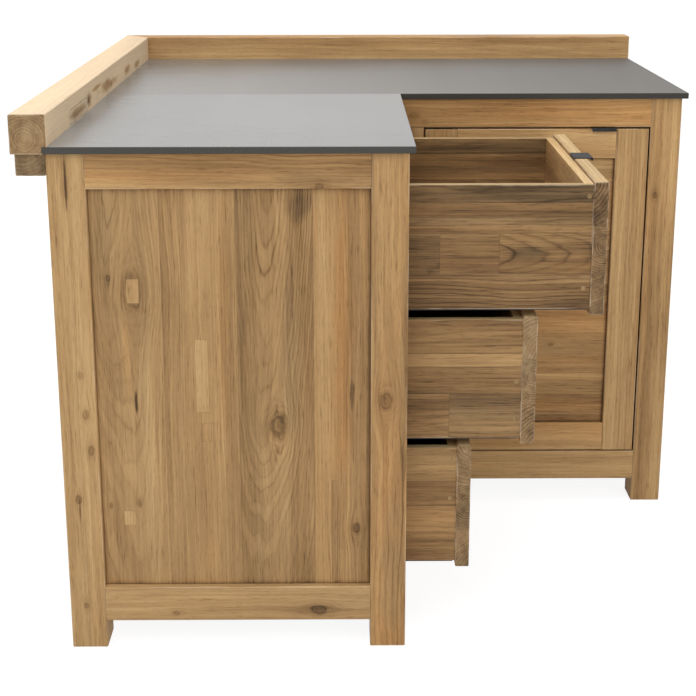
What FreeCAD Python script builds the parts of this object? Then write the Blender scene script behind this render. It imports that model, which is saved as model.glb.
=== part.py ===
import FreeCAD, Part
import os
import Sketcher

doc = FreeCAD.newDocument("corner_cabinet")
sheet = doc.addObject("Spreadsheet::Sheet", "Dims")

# Every size of the cabinet, in millimetres.
SIZES = {
    "wing_length": 1197,
    "wing_depth": 600,
    "carcass_height": 907,
    "post_size": 63,
    "stile_width": 60,
    "rail_thick": 40,
    "foot_height": 52,
    "bottom_rail": 66,
    "top_rail": 61,
    "panel_thick": 18,
    "panel_inset": 12,
    "groove_depth": 10,
    "tenon_length": 25,
    "tenon_stub": 12,
    "tenon_thick": 14,
    "tenon_shoulder": 10,
    "tenon_haunch": 14,
    "edge_break": 1.5,
    "top_thick": 12,
    "top_overhang": 10,
    "top_lap": 3,
    "beam_width": 60,
    "beam_height": 66,
    "beam_out": 55,
    "batten_width": 50,
    "batten_height": 38,
    "side_gap": 3,
    "front_gap": 4,
    "front_thick": 25,
    "box_back_gap": 75,
    "box_wall": 16,
    "box_inset": 2,
    "box_lift": 11,
    "box_drop": 5,
    "box_housing": 6,
    "base_lift": 12,
    "base_thick": 6,
    "top_drawer_out": 345,
    "middle_drawer_out": 231,
    "bottom_drawer_out": 119,
    "bearer_thick": 33,
    "bearer_height": 60,
    "bearer_below": 14,
    "runner_back_gap": 15,
    "runner_setback": 30,
    "runner_sheet": 2,
    "runner_flange": 30,
    "runner_reach": 21,
    "runner_drop": 8.8,
    "slide_width": 14,
    "slide_inset": 1,
    "cage_length": 130,
    "cage_width": 13,
    "cage_thick": 2.4,
    "roller_size": 4.4,
    "roller_length": 9,
    "roller_pitch": 40,
    "roller_play": 0.3,
    "door_gap": 3.5,
    "door_stile": 68,
    "door_rail": 63,
    "door_panel": 10,
    "door_inset": 8,
    "pull_width": 50,
    "pull_sheet": 2,
    "pull_flange": 25,
    "pull_reach": 10,
    "pull_lip": 4,
    "pull_bend": 1.2,
    "door_pull_inset": 95,
    "pivot_offset": 7,
    "pivot_size": 6,
    "pivot_depth": 15,
    "pivot_collar": 11,
    "pivot_play": 0.2,
    "pivot_fit": 0.08,
    "board_thick": 18,
    "shelf_level": 470,
    "shelf_bearer_thick": 30,
    "shelf_bearer_height": 40,
    "shelf_play": 4,
}


class Size:
    """A length that knows both its value and the sheet expression that gives it."""

    def __init__(self, text, value):
        self.text = text
        self.value = value

    def joined(self, sign, other, value):
        return Size(f"({self.text} {sign} {other.text})", value)

    def __add__(self, other):
        other = sized(other)
        return self.joined("+", other, self.value + other.value)

    def __radd__(self, other):
        return sized(other) + self

    def __sub__(self, other):
        other = sized(other)
        return self.joined("-", other, self.value - other.value)

    def __rsub__(self, other):
        return sized(other) - self

    def __mul__(self, other):
        other = sized(other)
        return self.joined("*", other, self.value * other.value)

    def __rmul__(self, other):
        return sized(other) * self

    def __truediv__(self, other):
        other = sized(other)
        return self.joined("/", other, self.value / other.value)

    def __neg__(self):
        return sized(0) - self


def sized(value):
    """Any number or Size, as a Size."""
    if isinstance(value, Size):
        return value
    return Size(str(value), value)


class Table:
    """The sheet's cells as attributes."""


S = Table()
for row, (alias, amount) in enumerate(SIZES.items(), start=1):
    sheet.set(f"A{row}", alias)
    sheet.set(f"B{row}", str(amount))
    sheet.setAlias(f"B{row}", alias)
    setattr(S, alias, Size(f"Dims.{alias}", amount))
doc.recompute()

# The frame's origin is the middle of the footprint at floor level.
SHIFT_X = (S.beam_out - S.top_overhang - S.wing_length) / 2
SHIFT_Y = (S.top_overhang - S.beam_out - S.wing_length) / 2

# Levels and lines that many pieces share.
LOW_TOP = S.foot_height + S.bottom_rail
HIGH_BASE = S.carcass_height - S.top_rail
INNER_Y = S.wing_length - S.wing_depth
MIDDLE = (S.wing_length - S.post_size) / 2
END_SPAN = S.wing_depth - 2 * S.post_size
OUTER_SPAN = MIDDLE - S.post_size
FRONT_SPAN = INNER_Y - S.post_size
BAY_HEIGHT = HIGH_BASE - LOW_TOP
BAY_FAR = INNER_Y - S.stile_width
BAY_WIDTH = BAY_FAR - S.post_size
FRONT_HEIGHT = (BAY_HEIGHT - 4 * S.front_gap) / 3
FRONT_WIDTH = BAY_WIDTH - 2 * S.side_gap
DIVIDER_Y = BAY_FAR + S.bearer_thick
TENON_SIDE = (S.rail_thick - S.tenon_thick) / 2
BOX_LENGTH = S.wing_depth - S.front_thick - S.box_back_gap
RUNNER_LENGTH = S.wing_depth - S.box_back_gap - S.runner_back_gap - S.runner_setback

NODES = []


def bind(item, prop, size):
    item.setExpression(prop, sized(size).text)


def place(item, at):
    for axis, value in zip("xyz", at):
        bind(item, f"Placement.Base.{axis}", value)


def mirrored(value, side):
    """The same distance on the other side of zero when the side is negative."""
    value = sized(value)
    return value if side > 0 or value.text == "0" else -value


def in_frame(at):
    """A point given from the carcass corner, as a point of the shared frame."""
    return (SHIFT_X + at[0], SHIFT_Y + at[1], sized(at[2]))


def new_body(label, at):
    body = doc.addObject("PartDesign::Body", label)
    body.Label = label
    place(body, in_frame(at))
    return body


def plane_of(body, role):
    return next(item for item in body.Origin.OriginFeatures if item.Role == role)


def pin_point(sketch, line, axis, value):
    """Holds the start of a line at a bound distance from the sketch's origin."""
    value = sized(value)
    if value.text == "0":
        sketch.addConstraint(Sketcher.Constraint("PointOnObject", line, 1, -2 if axis == "X" else -1))
        return
    rule = Sketcher.Constraint(f"Distance{axis}", -1, 1, line, 1, value.value)
    index = sketch.addConstraint(rule)
    sketch.setExpression(f"Constraints[{index}]", value.text)


def outline(body, name, role, points):
    """A closed sketch on one of the body's own planes, each corner bound to the sheet."""
    sketch = body.newObject("Sketcher::SketchObject", name)
    sketch.AttachmentSupport = (plane_of(body, role), [""])
    sketch.MapMode = "FlatFace"
    corners = [FreeCAD.Vector(sized(x).value, sized(y).value, 0) for x, y in points]
    count = len(corners)
    for index in range(count):
        sketch.addGeometry(Part.LineSegment(corners[index], corners[(index + 1) % count]), False)
    for index in range(count):
        sketch.addConstraint(Sketcher.Constraint("Coincident", index, 2, (index + 1) % count, 1))
    for index, (x, y) in enumerate(points):
        pin_point(sketch, index, "X", x)
        pin_point(sketch, index, "Y", y)
    return sketch


def pad_of(body, sketch, length, centred=False):
    pad = body.newObject("PartDesign::Pad", body.Name + "_pad")
    pad.Profile = sketch
    bind(pad, "Length", length)
    if centred:
        pad.SideType = "Symmetric"
    doc.recompute()
    return pad


def ease(body, base, axes, size=None):
    """Breaks every edge of the base that runs along one of the axes."""
    names = []
    for number, edge in enumerate(base.Shape.Edges, start=1):
        run = edge.tangentAt(edge.FirstParameter)
        if any(abs(getattr(run, axis)) > 0.999 for axis in axes):
            names.append(f"Edge{number}")
    eased = body.newObject("PartDesign::Chamfer", body.Name + "_eased")
    eased.Base = (base, names)
    bind(eased, "Size", size or S.edge_break)
    base.Visibility = False
    return eased


def block(body, kind, at, size):
    """Adds a box to the body or takes one away, in the body's own frame."""
    item = body.newObject(f"PartDesign::{kind}", body.Name + "_block")
    for prop, value in zip(("Length", "Width", "Height"), size):
        bind(item, prop, value)
    place(item, at)
    return item


def bore(body, at, size, depth):
    """Takes a round upright hole out of the body."""
    item = body.newObject("PartDesign::SubtractiveCylinder", body.Name + "_bore")
    bind(item, "Radius", sized(size) / 2)
    bind(item, "Height", depth)
    place(item, at)
    return item


def board(label, at, size, tongues=(), slots=(), along=None):
    """A squared timber: a padded outline with its long edges broken, then tongues and slots."""
    body = new_body(label, at)
    length, width, height = size
    sketch = outline(body, label + "_outline", "XY_Plane", [(0, 0), (length, 0), (length, width), (0, width)])
    base = pad_of(body, sketch, height)
    if along:
        ease(body, base, along)
    for start, extent in tongues:
        block(body, "AdditiveBox", start, extent)
    for start, extent in slots:
        block(body, "SubtractiveBox", start, extent)
    return body


def node(item):
    """Marks a document object as one of the parts that are written out."""
    NODES.append(item)
    return item


def group(label, members):
    """Separate solids that make one part."""
    item = doc.addObject("Part::Compound", label)
    item.Label = label
    item.Links = members
    return node(item)


def swapped(box, flip):
    """A box given for a piece along X, turned for a piece along Y when asked."""
    start, extent = box
    if not flip:
        return box
    return ((start[1], start[0], start[2]), (extent[1], extent[0], extent[2]))


def post_slot(face, outer, depth, inset, width, low, height):
    """A slot in one face of a post, set in from the outer side of the frame."""
    axis = face[1]
    start = S.post_size - depth if face[0] == "+" else 0
    across = inset if outer < 0 else S.post_size - inset - width
    return swapped(((start, across, low), (depth, width, height)), axis == "y")


def post(label, x, y, joints, extra=()):
    """A post with the mortises and panel grooves of the rails that meet it."""
    slots = list(extra)
    for face, outer, depth, panelled in joints:
        low_tenon = (S.foot_height + S.tenon_shoulder, S.bottom_rail - S.tenon_shoulder - S.tenon_haunch)
        high_tenon = (HIGH_BASE + S.tenon_haunch, S.top_rail - S.tenon_shoulder - S.tenon_haunch)
        for low, height in (low_tenon, high_tenon):
            slots.append(post_slot(face, outer, depth, TENON_SIDE, S.tenon_thick, low, height))
        if panelled:
            low, height = LOW_TOP - S.groove_depth, BAY_HEIGHT + 2 * S.groove_depth
            slots.append(post_slot(face, outer, S.groove_depth, S.panel_inset, S.panel_thick, low, height))
    size = (S.post_size, S.post_size, S.carcass_height)
    return node(board(label, (x, y, 0), size, slots=slots, along="z"))


def rail(label, at, span, axis, outer, high, ends, panelled=True, extra=()):
    """A rail with a tenon at each end and a groove for the panel."""
    turned = axis == "y"
    height = S.top_rail if high else S.bottom_rail
    low = S.tenon_haunch if high else S.tenon_shoulder
    tall = height - S.tenon_shoulder - S.tenon_haunch
    tongues = [
        ((-sized(ends[0]), TENON_SIDE, low), (ends[0], S.tenon_thick, tall)),
        ((span, TENON_SIDE, low), (ends[1], S.tenon_thick, tall)),
    ]
    slots = list(extra)
    if panelled:
        inset = S.panel_inset if outer < 0 else S.rail_thick - S.panel_inset - S.panel_thick
        level = 0 if high else height - S.groove_depth
        slots.append(((0, inset, level), (span, S.panel_thick, S.groove_depth)))
    size = (S.rail_thick, span, height) if turned else (span, S.rail_thick, height)
    tongues = [swapped(box, turned) for box in tongues]
    slots = [swapped(box, turned) for box in slots]
    base = HIGH_BASE if high else S.foot_height
    return board(label, (at[0], at[1], base), size, tongues, slots, along=axis)


LONG = S.tenon_length
STUB = S.tenon_stub
FAR = S.wing_length - S.post_size
INNER_X = S.wing_depth - S.post_size
RAIL_FAR = S.wing_length - S.rail_thick
RAIL_IN = S.wing_depth - S.rail_thick

# Posts, which also are the feet.
post("post_near_left", 0, 0, [("+x", -1, LONG, True), ("+y", -1, LONG, True)])
post("post_near_right", INNER_X, 0, [("-x", -1, LONG, True), ("+y", 1, LONG, False)])
post("post_corner", INNER_X, INNER_Y, [("-y", 1, STUB, False), ("+x", -1, STUB, False)])
post("post_right_front", FAR, INNER_Y, [("-x", -1, LONG, False), ("+y", 1, LONG, True)])
post("post_right_rear", FAR, FAR, [("-y", 1, LONG, True), ("-x", 1, LONG, True)])
post("post_rear_left", 0, FAR, [("-y", -1, LONG, True), ("+x", 1, LONG, True)])
post(
    "post_left_middle", 0, MIDDLE, [("-y", -1, LONG, True), ("+y", -1, LONG, True)],
    extra=[(
        (S.post_size - S.groove_depth, DIVIDER_Y - MIDDLE, LOW_TOP),
        (S.groove_depth, S.panel_thick, BAY_HEIGHT),
    )],
)
post("post_rear_middle", MIDDLE, FAR, [("-x", 1, LONG, True), ("+x", 1, LONG, True)])

# Stiles on either side of the inner corner, with a stub tenon at each end.
STILE_TENON = (S.stile_width - 2 * S.tenon_stub, S.tenon_thick, S.tenon_stub)


def stile(label, at, turned, slots=()):
    size = (S.stile_width, S.rail_thick, BAY_HEIGHT)
    tongues = [
        ((S.tenon_stub, TENON_SIDE, -S.tenon_stub), STILE_TENON),
        ((S.tenon_stub, TENON_SIDE, BAY_HEIGHT), STILE_TENON),
    ]
    if turned:
        size = (size[1], size[0], size[2])
    tongues = [swapped(box, turned) for box in tongues]
    return node(board(label, (at[0], at[1], LOW_TOP), size, tongues, slots, along="z"))


stile(
    "stile_drawer_bay", (RAIL_IN, BAY_FAR), True,
    slots=[((0, DIVIDER_Y - BAY_FAR, 0), (S.groove_depth, S.panel_thick, BAY_HEIGHT))],
)
stile("stile_door", (S.wing_depth, INNER_Y), False)

# Rails of the two open ends.
for high, word in ((True, "top"), (False, "bottom")):
    group(f"rails_end_{word}", [
        rail(f"rail_near_{word}", (S.post_size, 0), END_SPAN, "x", -1, high, (LONG, LONG)),
        rail(f"rail_right_{word}", (RAIL_FAR, INNER_Y + S.post_size), END_SPAN, "y", 1, high, (LONG, LONG)),
    ])
    far = S.post_size + MIDDLE
    group(f"rails_outer_{word}", [
        rail(f"rail_left_a_{word}", (0, S.post_size), OUTER_SPAN, "y", -1, high, (LONG, LONG)),
        rail(f"rail_left_b_{word}", (0, far), OUTER_SPAN, "y", -1, high, (LONG, LONG)),
        rail(f"rail_rear_a_{word}", (S.post_size, RAIL_FAR), OUTER_SPAN, "x", 1, high, (LONG, LONG)),
        rail(f"rail_rear_b_{word}", (far, RAIL_FAR), OUTER_SPAN, "x", 1, high, (LONG, LONG)),
    ])
    level = 0 if high else S.bottom_rail - S.tenon_stub
    bay_slot = ((FRONT_SPAN - S.stile_width + S.tenon_stub, TENON_SIDE, level), STILE_TENON)
    node(rail(
        f"rail_drawer_{word}", (RAIL_IN, S.post_size), FRONT_SPAN, "y", 1, high, (LONG, STUB),
        panelled=False, extra=[bay_slot],
    ))
    door_slot = ((S.tenon_stub, TENON_SIDE, level), STILE_TENON)
    door_rail = node(rail(
        f"rail_door_{word}", (S.wing_depth, INNER_Y), FRONT_SPAN, "x", -1, high, (STUB, LONG),
        panelled=False, extra=[door_slot],
    ))
    hole_base = 0 if high else S.bottom_rail - S.pivot_depth
    hole_x = S.stile_width + S.side_gap + S.pivot_offset
    bore(door_rail, (hole_x, S.pivot_offset, hole_base), S.pivot_size, S.pivot_depth)

# Panels, held in the grooves all round.
PANEL_LOW = LOW_TOP - S.groove_depth
PANEL_HIGH = BAY_HEIGHT + 2 * S.groove_depth
IN_GROOVE = S.post_size - S.groove_depth
END_PANEL = END_SPAN + 2 * S.groove_depth
OUTER_PANEL = OUTER_SPAN + 2 * S.groove_depth
BACK = S.wing_length - S.panel_inset - S.panel_thick
node(board("panel_near", (IN_GROOVE, S.panel_inset, PANEL_LOW), (END_PANEL, S.panel_thick, PANEL_HIGH)))
node(board("panel_right", (BACK, INNER_Y + IN_GROOVE, PANEL_LOW), (S.panel_thick, END_PANEL, PANEL_HIGH)))
LEFT_PANEL = (S.panel_thick, OUTER_PANEL, PANEL_HIGH)
REAR_PANEL = (OUTER_PANEL, S.panel_thick, PANEL_HIGH)
group("panels_outer", [
    board("panel_left_a", (S.panel_inset, IN_GROOVE, PANEL_LOW), LEFT_PANEL),
    board("panel_left_b", (S.panel_inset, MIDDLE + IN_GROOVE, PANEL_LOW), LEFT_PANEL),
    board("panel_rear_a", (IN_GROOVE, BACK, PANEL_LOW), REAR_PANEL),
    board("panel_rear_b", (MIDDLE + IN_GROOVE, BACK, PANEL_LOW), REAR_PANEL),
])
node(board(
    "panel_divider", (IN_GROOVE, DIVIDER_Y, LOW_TOP),
    (RAIL_IN - S.post_size + 2 * S.groove_depth, S.panel_thick, BAY_HEIGHT),
))

# Cupboard floor and shelf on four bearers.
BEARER_LENGTH = S.wing_depth - 2 * S.post_size
BEARER_SIZE = (S.shelf_bearer_thick, BEARER_LENGTH, S.shelf_bearer_height)
BEARER_Y = INNER_Y + S.post_size
BEARER_LEFT = S.wing_depth - S.shelf_bearer_thick
BEARER_RIGHT = RAIL_FAR - S.shelf_bearer_thick
group("shelf_bearers", [
    board(f"shelf_bearer_{word}", (x, BEARER_Y, level - S.shelf_bearer_height), BEARER_SIZE, along="y")
    for word, x, level in (
        ("floor_left", BEARER_LEFT, LOW_TOP),
        ("floor_right", BEARER_RIGHT, LOW_TOP),
        ("shelf_left", BEARER_LEFT, S.shelf_level),
        ("shelf_right", BEARER_RIGHT, S.shelf_level),
    )
])
SHELF_AT = (BEARER_LEFT, BEARER_Y + S.shelf_play)
SHELF_SIZE = (RAIL_FAR - BEARER_LEFT, BEARER_LENGTH - 2 * S.shelf_play, S.board_thick)
node(board("shelf", (SHELF_AT[0], SHELF_AT[1], S.shelf_level), SHELF_SIZE, along="x"))
# The floor runs on to the blind corner and fills the space between the posts up to the panels.
FLOOR_X = S.panel_inset + S.panel_thick
FLOOR_SIZE = (RAIL_FAR - FLOOR_X, SHELF_SIZE[1], S.board_thick)
POST_FREE = S.post_size + S.shelf_play


def floor_tongue(left, right, front, back):
    """A part of the floor between posts, from lines given from the carcass corner."""
    start = (left - FLOOR_X, front - SHELF_AT[1], 0)
    return (start, (right - left, back - front, S.board_thick))


FLOOR_BACK = SHELF_AT[1] + SHELF_SIZE[1]
DOOR_BACK = INNER_Y + S.front_thick + S.shelf_play
DIVIDER_BACK = DIVIDER_Y + S.panel_thick
node(board(
    "cupboard_floor", (FLOOR_X, SHELF_AT[1], LOW_TOP), FLOOR_SIZE,
    tongues=[
        floor_tongue(S.wing_depth + S.stile_width + S.shelf_play, FAR - S.shelf_play, DOOR_BACK, SHELF_AT[1]),
        floor_tongue(POST_FREE, INNER_X - S.shelf_play, DIVIDER_BACK, SHELF_AT[1]),
        floor_tongue(POST_FREE, MIDDLE - S.shelf_play, FLOOR_BACK, BACK),
        floor_tongue(MIDDLE + POST_FREE, FAR - S.shelf_play, FLOOR_BACK, BACK),
    ],
))

# Worktop in two slabs that meet in line with the right wing's front edge.
SEAM = INNER_Y - S.top_overhang


def slab(label, at, length, width):
    body = new_body(label, (at[0], at[1], S.carcass_height))
    sketch = outline(body, label + "_outline", "XY_Plane", [(0, 0), (length, 0), (length, width), (0, width)])
    base = pad_of(body, sketch, S.top_thick)
    ease(body, base, "xy", S.edge_break / 2)
    return node(body)


slab(
    "worktop_left", (-S.top_lap, -S.top_overhang),
    S.wing_depth + S.top_overhang + S.top_lap, SEAM + S.top_overhang,
)
slab(
    "worktop_rear", (-S.top_lap, SEAM),
    S.wing_length + S.top_overhang + S.top_lap, S.wing_length + S.top_lap - SEAM,
)

# Upstand beams, mitred at the outer corner, each rabbeted over the worktop's edge.
BEAM_IN = S.beam_width - S.beam_out
RABBET = BEAM_IN + S.top_lap
WORKTOP_SPAN = S.wing_length + S.top_overhang


def upstand(label, points, rabbet):
    body = new_body(label, (0, 0, S.carcass_height))
    sketch = outline(body, label + "_outline", "XY_Plane", points)
    base = pad_of(body, sketch, S.beam_height)
    ease(body, base, "x" if label.endswith("rear") else "y")
    start, extent = rabbet
    block(body, "SubtractiveBox", (start[0], start[1], 0), (extent[0], extent[1], S.top_thick))
    return node(body)


upstand(
    "upstand_left",
    [
        (-S.beam_out, -S.top_overhang), (BEAM_IN, -S.top_overhang),
        (BEAM_IN, S.wing_length - BEAM_IN), (-S.beam_out, S.wing_length + S.beam_out),
    ],
    ((-S.top_lap, -S.top_overhang), (RABBET, WORKTOP_SPAN + S.top_lap)),
)
upstand(
    "upstand_rear",
    [
        (BEAM_IN, S.wing_length - BEAM_IN), (WORKTOP_SPAN, S.wing_length - BEAM_IN),
        (WORKTOP_SPAN, S.wing_length + S.beam_out), (-S.beam_out, S.wing_length + S.beam_out),
    ],
    ((-S.top_lap, S.wing_length - BEAM_IN), (WORKTOP_SPAN + S.top_lap, RABBET)),
)


def wall_batten(label, points, along):
    body = new_body(label, (0, 0, S.carcass_height - S.batten_height))
    base = pad_of(body, outline(body, label + "_outline", "XY_Plane", points), S.batten_height)
    ease(body, base, along)
    return body


BATTEN_END = S.wing_length + S.batten_width
group("wall_battens", [
    wall_batten(
        "wall_batten_left",
        [(0, 0), (0, S.wing_length), (-S.batten_width, BATTEN_END), (-S.batten_width, 0)],
        "y",
    ),
    wall_batten(
        "wall_batten_rear",
        [
            (0, S.wing_length), (S.wing_length, S.wing_length),
            (S.wing_length, BATTEN_END), (-S.batten_width, BATTEN_END),
        ],
        "x",
    ),
])

# Drawers, numbered from the bottom up, each with its own amount drawn out.
DRAWERS = (
    ("bottom", 0, S.bottom_drawer_out),
    ("middle", 1, S.middle_drawer_out),
    ("top", 2, S.top_drawer_out),
)
FRONT_BACK = S.wing_depth - S.front_thick
BOX_BACK = FRONT_BACK - BOX_LENGTH
BOX_NEAR = S.post_size + S.side_gap + S.box_inset
BOX_WIDTH = FRONT_WIDTH - 2 * S.box_inset
BOX_HEIGHT = FRONT_HEIGHT - S.box_lift - S.box_drop
BAY_CENTRE = S.post_size + BAY_WIDTH / 2
END_LENGTH = BOX_WIDTH - 2 * S.box_wall + 2 * S.box_housing
RUNNER_X = S.wing_depth - S.runner_setback - RUNNER_LENGTH


def front_level(step):
    return LOW_TOP + S.front_gap + step * (FRONT_HEIGHT + S.front_gap)


def pull(label, at, lap, turned=False):
    """A bent sheet that laps the top edge of a front: rear flange, top plate and front lip."""
    body = new_body(label, at)
    if turned:
        body.Placement.Rotation = FreeCAD.Rotation(FreeCAD.Vector(0, 0, 1), -90)
    sheet_thick = S.pull_sheet
    back, tip = -lap, S.pull_reach
    points = [
        (back, -S.pull_flange), (back, 0), (tip - sheet_thick, 0), (tip - sheet_thick, -S.pull_lip),
        (tip, -S.pull_lip), (tip, sheet_thick),
        (back - sheet_thick, sheet_thick), (back - sheet_thick, -S.pull_flange),
    ]
    sketch = outline(body, label + "_section", "XZ_Plane", points)
    base = pad_of(body, sketch, S.pull_width, centred=True)
    names = []
    for number, edge in enumerate(base.Shape.Edges, start=1):
        middle = edge.CenterOfMass
        runs_across = abs(edge.tangentAt(edge.FirstParameter).y) > 0.999
        if runs_across and abs(middle.z - sheet_thick.value) < 0.01:
            names.append(f"Edge{number}")
    rounded = body.newObject("PartDesign::Fillet", label + "_bends")
    rounded.Base = (base, names)
    bind(rounded, "Radius", S.pull_bend)
    return node(body)


def box_side(label, at, inner):
    """A drawer side with housings for both ends and a groove for the base."""
    start = S.box_wall - S.box_housing if inner > 0 else 0
    slots = [
        ((0, start, 0), (S.box_wall, S.box_housing, BOX_HEIGHT)),
        ((BOX_LENGTH - S.box_wall, start, 0), (S.box_wall, S.box_housing, BOX_HEIGHT)),
        (
            (S.box_wall - S.box_housing, start, S.base_lift),
            (BOX_LENGTH - 2 * (S.box_wall - S.box_housing), S.box_housing, S.base_thick),
        ),
    ]
    return board(label, at, (BOX_LENGTH, S.box_wall, BOX_HEIGHT), slots=slots)


def box_end(label, at, inner):
    """A drawer box end with the groove for the base."""
    start = S.box_wall - S.box_housing if inner > 0 else 0
    slots = [((start, 0, S.base_lift), (S.box_housing, END_LENGTH, S.base_thick))]
    return board(label, at, (S.box_wall, END_LENGTH, BOX_HEIGHT), slots=slots)


def cage_strip(label, at):
    """A roller cage: a strip with a row of windows."""
    body = new_body(label, at)
    size = (S.cage_length, S.cage_width)
    points = [(0, 0), (size[0], 0), size, (0, size[1])]
    pad_of(body, outline(body, label + "_outline", "XY_Plane", points), S.cage_thick)
    window_length = S.roller_size + 2 * S.roller_play
    window = block(
        body, "SubtractiveBox",
        (S.cage_length / 2 - S.roller_pitch - window_length / 2, (S.cage_width - S.roller_length) / 2, 0),
        (window_length, S.roller_length, S.cage_thick),
    )
    doc.recompute()
    row = body.newObject("PartDesign::LinearPattern", label + "_windows")
    row.Originals = [window]
    row.Direction = (plane_of(body, "X_Axis"), [""])
    row.Mode = "Spacing"
    bind(row, "Offset", S.roller_pitch)
    row.Occurrences = 3
    body.Tip = row
    return body


def roller(label, at):
    item = doc.addObject("Part::Cylinder", label)
    item.Label = label
    item.Placement.Rotation = FreeCAD.Rotation(FreeCAD.Vector(1, 0, 0), -90)
    bind(item, "Radius", S.roller_size / 2)
    bind(item, "Height", S.roller_length)
    place(item, in_frame(at))
    return item


def channel(label, at, side):
    """The fixed member of a runner: a folded angle that carries the rollers."""
    body = new_body(label, at)
    sheet_thick = S.runner_sheet
    profile = [
        (0, 0), (S.runner_reach, 0), (S.runner_reach, sheet_thick),
        (sheet_thick, sheet_thick), (sheet_thick, S.runner_flange), (0, S.runner_flange),
    ]
    points = [(mirrored(y, side), z) for y, z in profile]
    pad_of(body, outline(body, label + "_section", "YZ_Plane", points), RUNNER_LENGTH)
    return body


bearers = []
channels = []
for word, step, out in DRAWERS:
    level = front_level(step)
    box_level = level + S.box_lift
    front_x = FRONT_BACK + out
    box_x = BOX_BACK + out
    recess = (
        (0, FRONT_WIDTH / 2 - S.pull_width / 2, FRONT_HEIGHT - S.pull_flange),
        (S.pull_sheet, S.pull_width, S.pull_flange),
    )
    node(board(
        f"drawer_{word}_front", (front_x, S.post_size + S.side_gap, level),
        (S.front_thick, FRONT_WIDTH, FRONT_HEIGHT), slots=[recess], along="y",
    ))
    far_side = BOX_NEAR + BOX_WIDTH - S.box_wall
    group(f"drawer_{word}_sides", [
        box_side(f"drawer_{word}_side_near", (box_x, BOX_NEAR, box_level), 1),
        box_side(f"drawer_{word}_side_far", (box_x, far_side, box_level), -1),
    ])
    end_y = BOX_NEAR + S.box_wall - S.box_housing
    group(f"drawer_{word}_ends", [
        box_end(f"drawer_{word}_end_back", (box_x, end_y, box_level), 1),
        box_end(f"drawer_{word}_end_front", (front_x - S.box_wall, end_y, box_level), -1),
    ])
    base_x = box_x + S.box_wall - S.box_housing
    node(board(
        f"drawer_{word}_base", (base_x, end_y, box_level + S.base_lift),
        (BOX_LENGTH - 2 * (S.box_wall - S.box_housing), END_LENGTH, S.base_thick),
    ))
    pull_at = (S.wing_depth + out, BAY_CENTRE, level + FRONT_HEIGHT)
    pull(f"drawer_{word}_pull", pull_at, S.front_thick - S.pull_sheet)
    slide_size = (RUNNER_LENGTH, S.slide_width, S.runner_sheet)
    slide_level = box_level - S.runner_sheet
    slide_far = far_side + S.box_wall - S.slide_inset - S.slide_width
    slide_near = BOX_NEAR + S.slide_inset
    group(f"drawer_{word}_slides", [
        board(f"drawer_{word}_slide_near", (RUNNER_X + out, slide_near, slide_level), slide_size),
        board(f"drawer_{word}_slide_far", (RUNNER_X + out, slide_far, slide_level), slide_size),
    ])
    middle_x = RUNNER_X + RUNNER_LENGTH / 2 + out / 2
    roll_level = box_level - S.runner_drop / 2
    cage_members = []
    for side, y in (("near", BOX_NEAR + S.box_wall / 2), ("far", far_side + S.box_wall / 2)):
        strip_at = (middle_x - S.cage_length / 2, y - S.cage_width / 2, roll_level - S.cage_thick / 2)
        cage_members.append(cage_strip(f"cage_{word}_{side}", strip_at))
        for index in (-1, 0, 1):
            roller_at = (middle_x + index * S.roller_pitch, y - S.roller_length / 2, roll_level)
            cage_members.append(roller(f"roller_{word}_{side}_{index + 2}", roller_at))
    group(f"drawer_{word}_cage", cage_members)
    bearer_size = (END_SPAN, S.bearer_thick, S.bearer_height)
    bearer_level = box_level - S.bearer_below
    bearers.append(board(
        f"bearer_{word}_near", (S.post_size, S.post_size - S.bearer_thick, bearer_level),
        bearer_size, along="x",
    ))
    bearers.append(board(
        f"bearer_{word}_far", (RAIL_IN - END_SPAN, BAY_FAR, bearer_level),
        bearer_size, along="x",
    ))
    channel_level = box_level - S.runner_drop
    channels.append(channel(f"channel_{word}_near", (RUNNER_X, S.post_size, channel_level), 1))
    channels.append(channel(f"channel_{word}_far", (RUNNER_X, BAY_FAR, channel_level), -1))
group("runner_bearers", bearers)
group("runner_channels", channels)

# Door: stub-tenoned frame round a panel, turning on two upright pins at its left edge.
DOOR_X = S.wing_depth + S.stile_width + S.side_gap
DOOR_WIDTH = FAR - S.side_gap - DOOR_X
DOOR_LOW = LOW_TOP + S.door_gap
DOOR_HEIGHT = BAY_HEIGHT - 2 * S.door_gap
STILE_SIZE = (S.door_stile, S.front_thick, DOOR_HEIGHT)
GROOVE = (S.groove_depth, S.door_panel, DOOR_HEIGHT)
PIN_HOLE = S.pivot_size + 2 * S.pivot_fit
hinge_stile = board(
    "door_stile_hinge", (DOOR_X, INNER_Y, DOOR_LOW), STILE_SIZE,
    slots=[((S.door_stile - S.groove_depth, S.door_inset, 0), GROOVE)], along="z",
)
for hole_base in (0, DOOR_HEIGHT - S.pivot_depth):
    bore(hinge_stile, (S.pivot_offset, S.pivot_offset, hole_base), PIN_HOLE, S.pivot_depth)
node(hinge_stile)
node(board(
    "door_stile_pull", (DOOR_X + DOOR_WIDTH - S.door_stile, INNER_Y, DOOR_LOW), STILE_SIZE,
    slots=[((0, S.door_inset, 0), GROOVE)], along="z",
))
RAIL_SPAN = DOOR_WIDTH - 2 * S.door_stile


def door_rail(label, level, groove_level):
    tongue = (S.groove_depth, S.door_panel, S.door_rail)
    return board(
        label, (DOOR_X + S.door_stile, INNER_Y, level), (RAIL_SPAN, S.front_thick, S.door_rail),
        tongues=[((-S.groove_depth, S.door_inset, 0), tongue), ((RAIL_SPAN, S.door_inset, 0), tongue)],
        slots=[(
            (-S.groove_depth, S.door_inset, groove_level),
            (RAIL_SPAN + 2 * S.groove_depth, S.door_panel, S.groove_depth),
        )],
        along="x",
    )


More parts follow.
